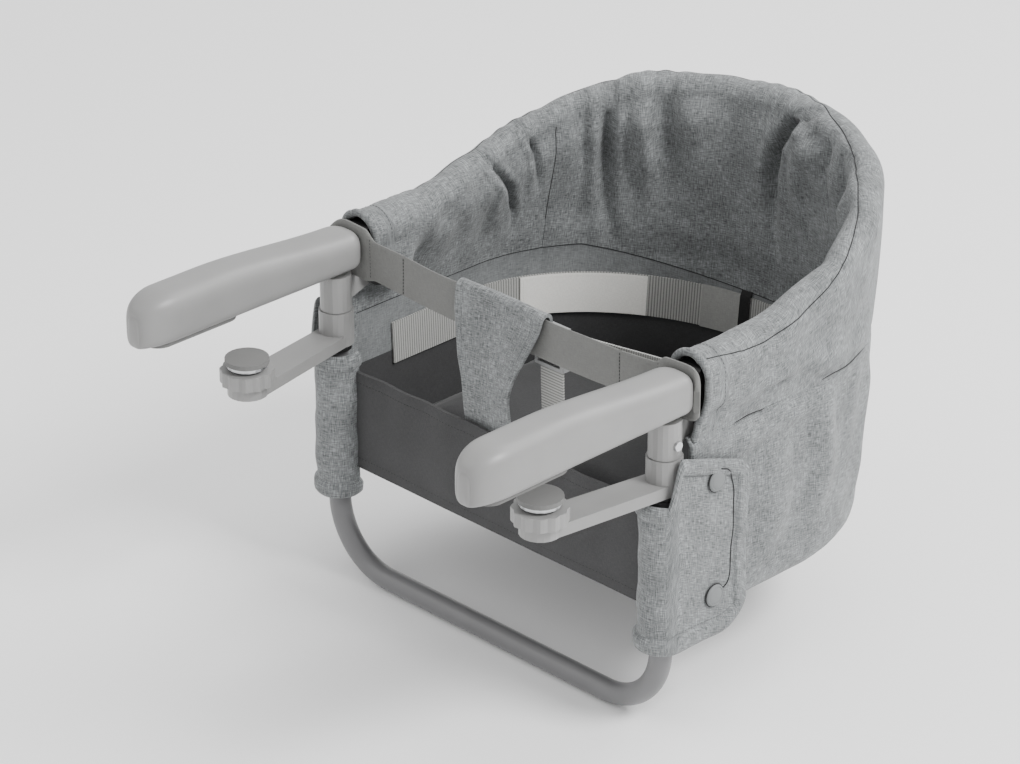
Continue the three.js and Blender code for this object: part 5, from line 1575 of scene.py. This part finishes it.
class CHAIR_OT_crotch_cover(bpy.types.Operator):
    """Linen cover that hangs over the band and runs down to the seat"""

    bl_idname = "chair.crotch_cover"
    bl_label = "Crotch cover"

    def execute(self, context):
        route = smooth_route(COVER_ROUTE, 150)
        split = int(np.argmax(route[:, 1] < FOLD_PLANE + 1e-4))
        route[split, 1] = FOLD_PLANE
        whole, width = cover_grid(route)
        columns = whole.shape[1]
        across = np.linspace(0, 1, columns)[None, :] * width
        length = lengths_along(route)
        edge = np.minimum(np.minimum(across, width - across), np.minimum(length, length[-1] - length)[:, None])
        thickness = (0.0022 + hemmed(edge, 0.0085, 0.0070, 0.0008))[:, :, None]
        for name, rows, nodes, under, fold in (
                ("upper", slice(0, split + 1), ["crotch_cover"], "band_cloth", False),
                ("lower", slice(split, None), [], "cover_upper", True)):
            part = sew(f"cover_{name}", whole[rows][:, ::-1], thickness[rows][:, ::-1], "linen", "linen",
                       *nodes, fold=fold)
            for side, column in (("left", columns - 6), ("right", 5)):
                line = whole[rows][:, column] - (0, 0.0012, 0)
                if not fold:
                    line = line[int(np.argmax(route[:, 0] < 0.0470)):]
                stitch(f"cover_stitches_{name}_{side}", line, "stitch", "linen", fold=fold)
        return {"FINISHED"}


# Belts
BELT_HALF = 0.019
# Turns between which the waist belt and the pieces on it run
WAIST_TURNS = (-0.86, 0.86)
SLEEVE_TURNS = (-0.137, -0.064)
PATCH_TURNS = (-0.482, -0.238)
KEEPER_TURNS = (-0.0631, -0.0429)
# How far inside the wall each of them lies
WAIST_INSET = 0.0044
SLEEVE_INSET = 0.0048
PATCH_INSET = 0.0061
# The front belt runs from its outer end to the buckle, and the crotch strap hangs from there
STRAP_WIDTH = 0.025
FRONT_BELT_RUN = (0.168, 0.0503)
FRONT_BELT_LEVELS = (0.016, 0.004)
FRONT_BELT_SETBACK = 0.062
CROTCH_PLACE = (0.034, 0.065)
CROTCH_LEVELS = (-0.0240, -0.1600)


def belt_height(turn):
    """Height of the waist belt's middle. It hangs lowest at the back."""
    return -0.094 - 0.009 * np.cos(bend_angle(turn))


def belt_strip(turns, reach, inset, columns, rows):
    """A strip along the waist belt, between two turns, that reaches as far above its middle as below."""
    turn = np.linspace(*turns, columns)[None, :] + np.zeros((rows, 1))
    return wall_point(turn, belt_height(turn) + mix(reach, -reach, np.linspace(0, 1, rows)[:, None]), -inset)


class CHAIR_OT_belts(bpy.types.Operator):
    """Waist belt with its blank patch and keeper, the front belt, the crotch strap and the buckle"""

    bl_idname = "chair.belts"
    bl_label = "Belts and buckle"

    def execute(self, context):
        sizes = context.scene.chair_cloth
        waist = belt_strip(WAIST_TURNS, BELT_HALF, WAIST_INSET, 260, 9)
        sew("waist_webbing", waist, sizes.webbing, "webbing", "webbing", "waist_belt", fold=True)
        sleeve = belt_strip(SLEEVE_TURNS, BELT_HALF + 0.0004, SLEEVE_INSET, 40, 9)
        sew("belt_sleeve", sleeve, sizes.webbing + 0.0012, "belt", "webbing", fold=True)
        patch = belt_strip(PATCH_TURNS, BELT_HALF - 0.0005, PATCH_INSET, 70, 21)
        sew("blank_patch", patch, 0.0008, "patch", "patch", "belt_patch", fold=True)
        border = np.concatenate([patch[1, 2:-2], patch[1:-1, -3], patch[-2, -3:2:-1], patch[-2:1:-1, 2]])
        stitch("patch_stitches", border - outward(-0.37) * 0.0005, "patch", "patch", fold=True, pitch=0.0026,
               length=0.0018, width=0.0006)

        v = np.linspace(0, 1, 17)[:, None]
        turn = np.linspace(*KEEPER_TURNS, 5)[None, :] + 0 * v
        reach = BELT_HALF + 0.005
        keeper = wall_point(turn, belt_height(turn) + mix(reach, -reach, v),
                            -0.0040 - 0.0028 * np.minimum(1.0, np.sin(np.pi * v) * 3.0))
        sew("keeper_loop", keeper, 0.0010, "keeper", "black", "belt_keeper", fold=True)

        u, v = np.meshgrid(np.linspace(0, 1, 60), np.linspace(0, 1, 7))
        y = FRONT_BELT_SETBACK + 0.0012 * np.sin(u * 5.0) * (1 - v)
        z = mix(*FRONT_BELT_LEVELS, u) + STRAP_WIDTH * (0.5 - v) - 0.0015 * np.sin(np.pi * u)
        front = np.stack([mix(*FRONT_BELT_RUN, u), y, z], axis=2)
        sew("front_webbing", front, sizes.webbing, "webbing", "webbing", "front_belt")
        v, u = np.meshgrid(np.linspace(0, 1, 70), np.linspace(-0.5, 0.5, 9), indexing="ij")
        x, y = CROTCH_PLACE
        hang = np.stack([x + STRAP_WIDTH * u, y + 0.0018 * np.sin(np.pi * v) ** 2, mix(*CROTCH_LEVELS, v)],
                        axis=2)
        sew("crotch_webbing", hang, sizes.webbing, "webbing_along", "webbing", "crotch_strap", fold=True)
        repaint("buckle", "buckle_tongue", "buckle_socket", *both("buckle_prong"), edge=sizes.plastic_edge)
        return {"FINISHED"}


# Panel
OPERATORS = [CHAIR_OT_stage, CHAIR_OT_arms, CHAIR_OT_tubes, CHAIR_OT_joints, CHAIR_OT_clamps, CHAIR_OT_rim,
             CHAIR_OT_walls, CHAIR_OT_pad, CHAIR_OT_front_panel, CHAIR_OT_flaps, CHAIR_OT_band,
             CHAIR_OT_crotch_cover, CHAIR_OT_belts]
GROUPS = {"chair_colours": ChairColours, "chair_cloth": ChairCloth, "chair_view": ChairView}


class CHAIR_PT_panel(bpy.types.Panel):
    """Colours, sizes and steps of the table chair"""

    bl_idname = "CHAIR_PT_panel"
    bl_label = "Table chair"
    bl_space_type = "VIEW_3D"
    bl_region_type = "UI"
    bl_category = "Chair"

    def draw(self, context):
        for name, group in GROUPS.items():
            box = self.layout.box()
            for size in group.__annotations__:
                box.prop(getattr(context.scene, name), size)
        for step in OPERATORS:
            self.layout.operator(step.bl_idname, text=step.bl_label)


def register():
    for name, group in GROUPS.items():
        bpy.utils.register_class(group)
        setattr(bpy.types.Scene, name, PointerProperty(type=group))
    for made in (*OPERATORS, CHAIR_PT_panel):
        bpy.utils.register_class(made)


def unregister():
    for made in (CHAIR_PT_panel, *reversed(OPERATORS)):
        bpy.utils.unregister_class(made)
    for name, group in reversed(GROUPS.items()):
        delattr(bpy.types.Scene, name)
        bpy.utils.unregister_class(group)


def main():
    register()
    for step in OPERATORS:
        getattr(bpy.ops.chair, step.bl_idname.split(".")[1])()


if __name__ == "__main__":
    main()
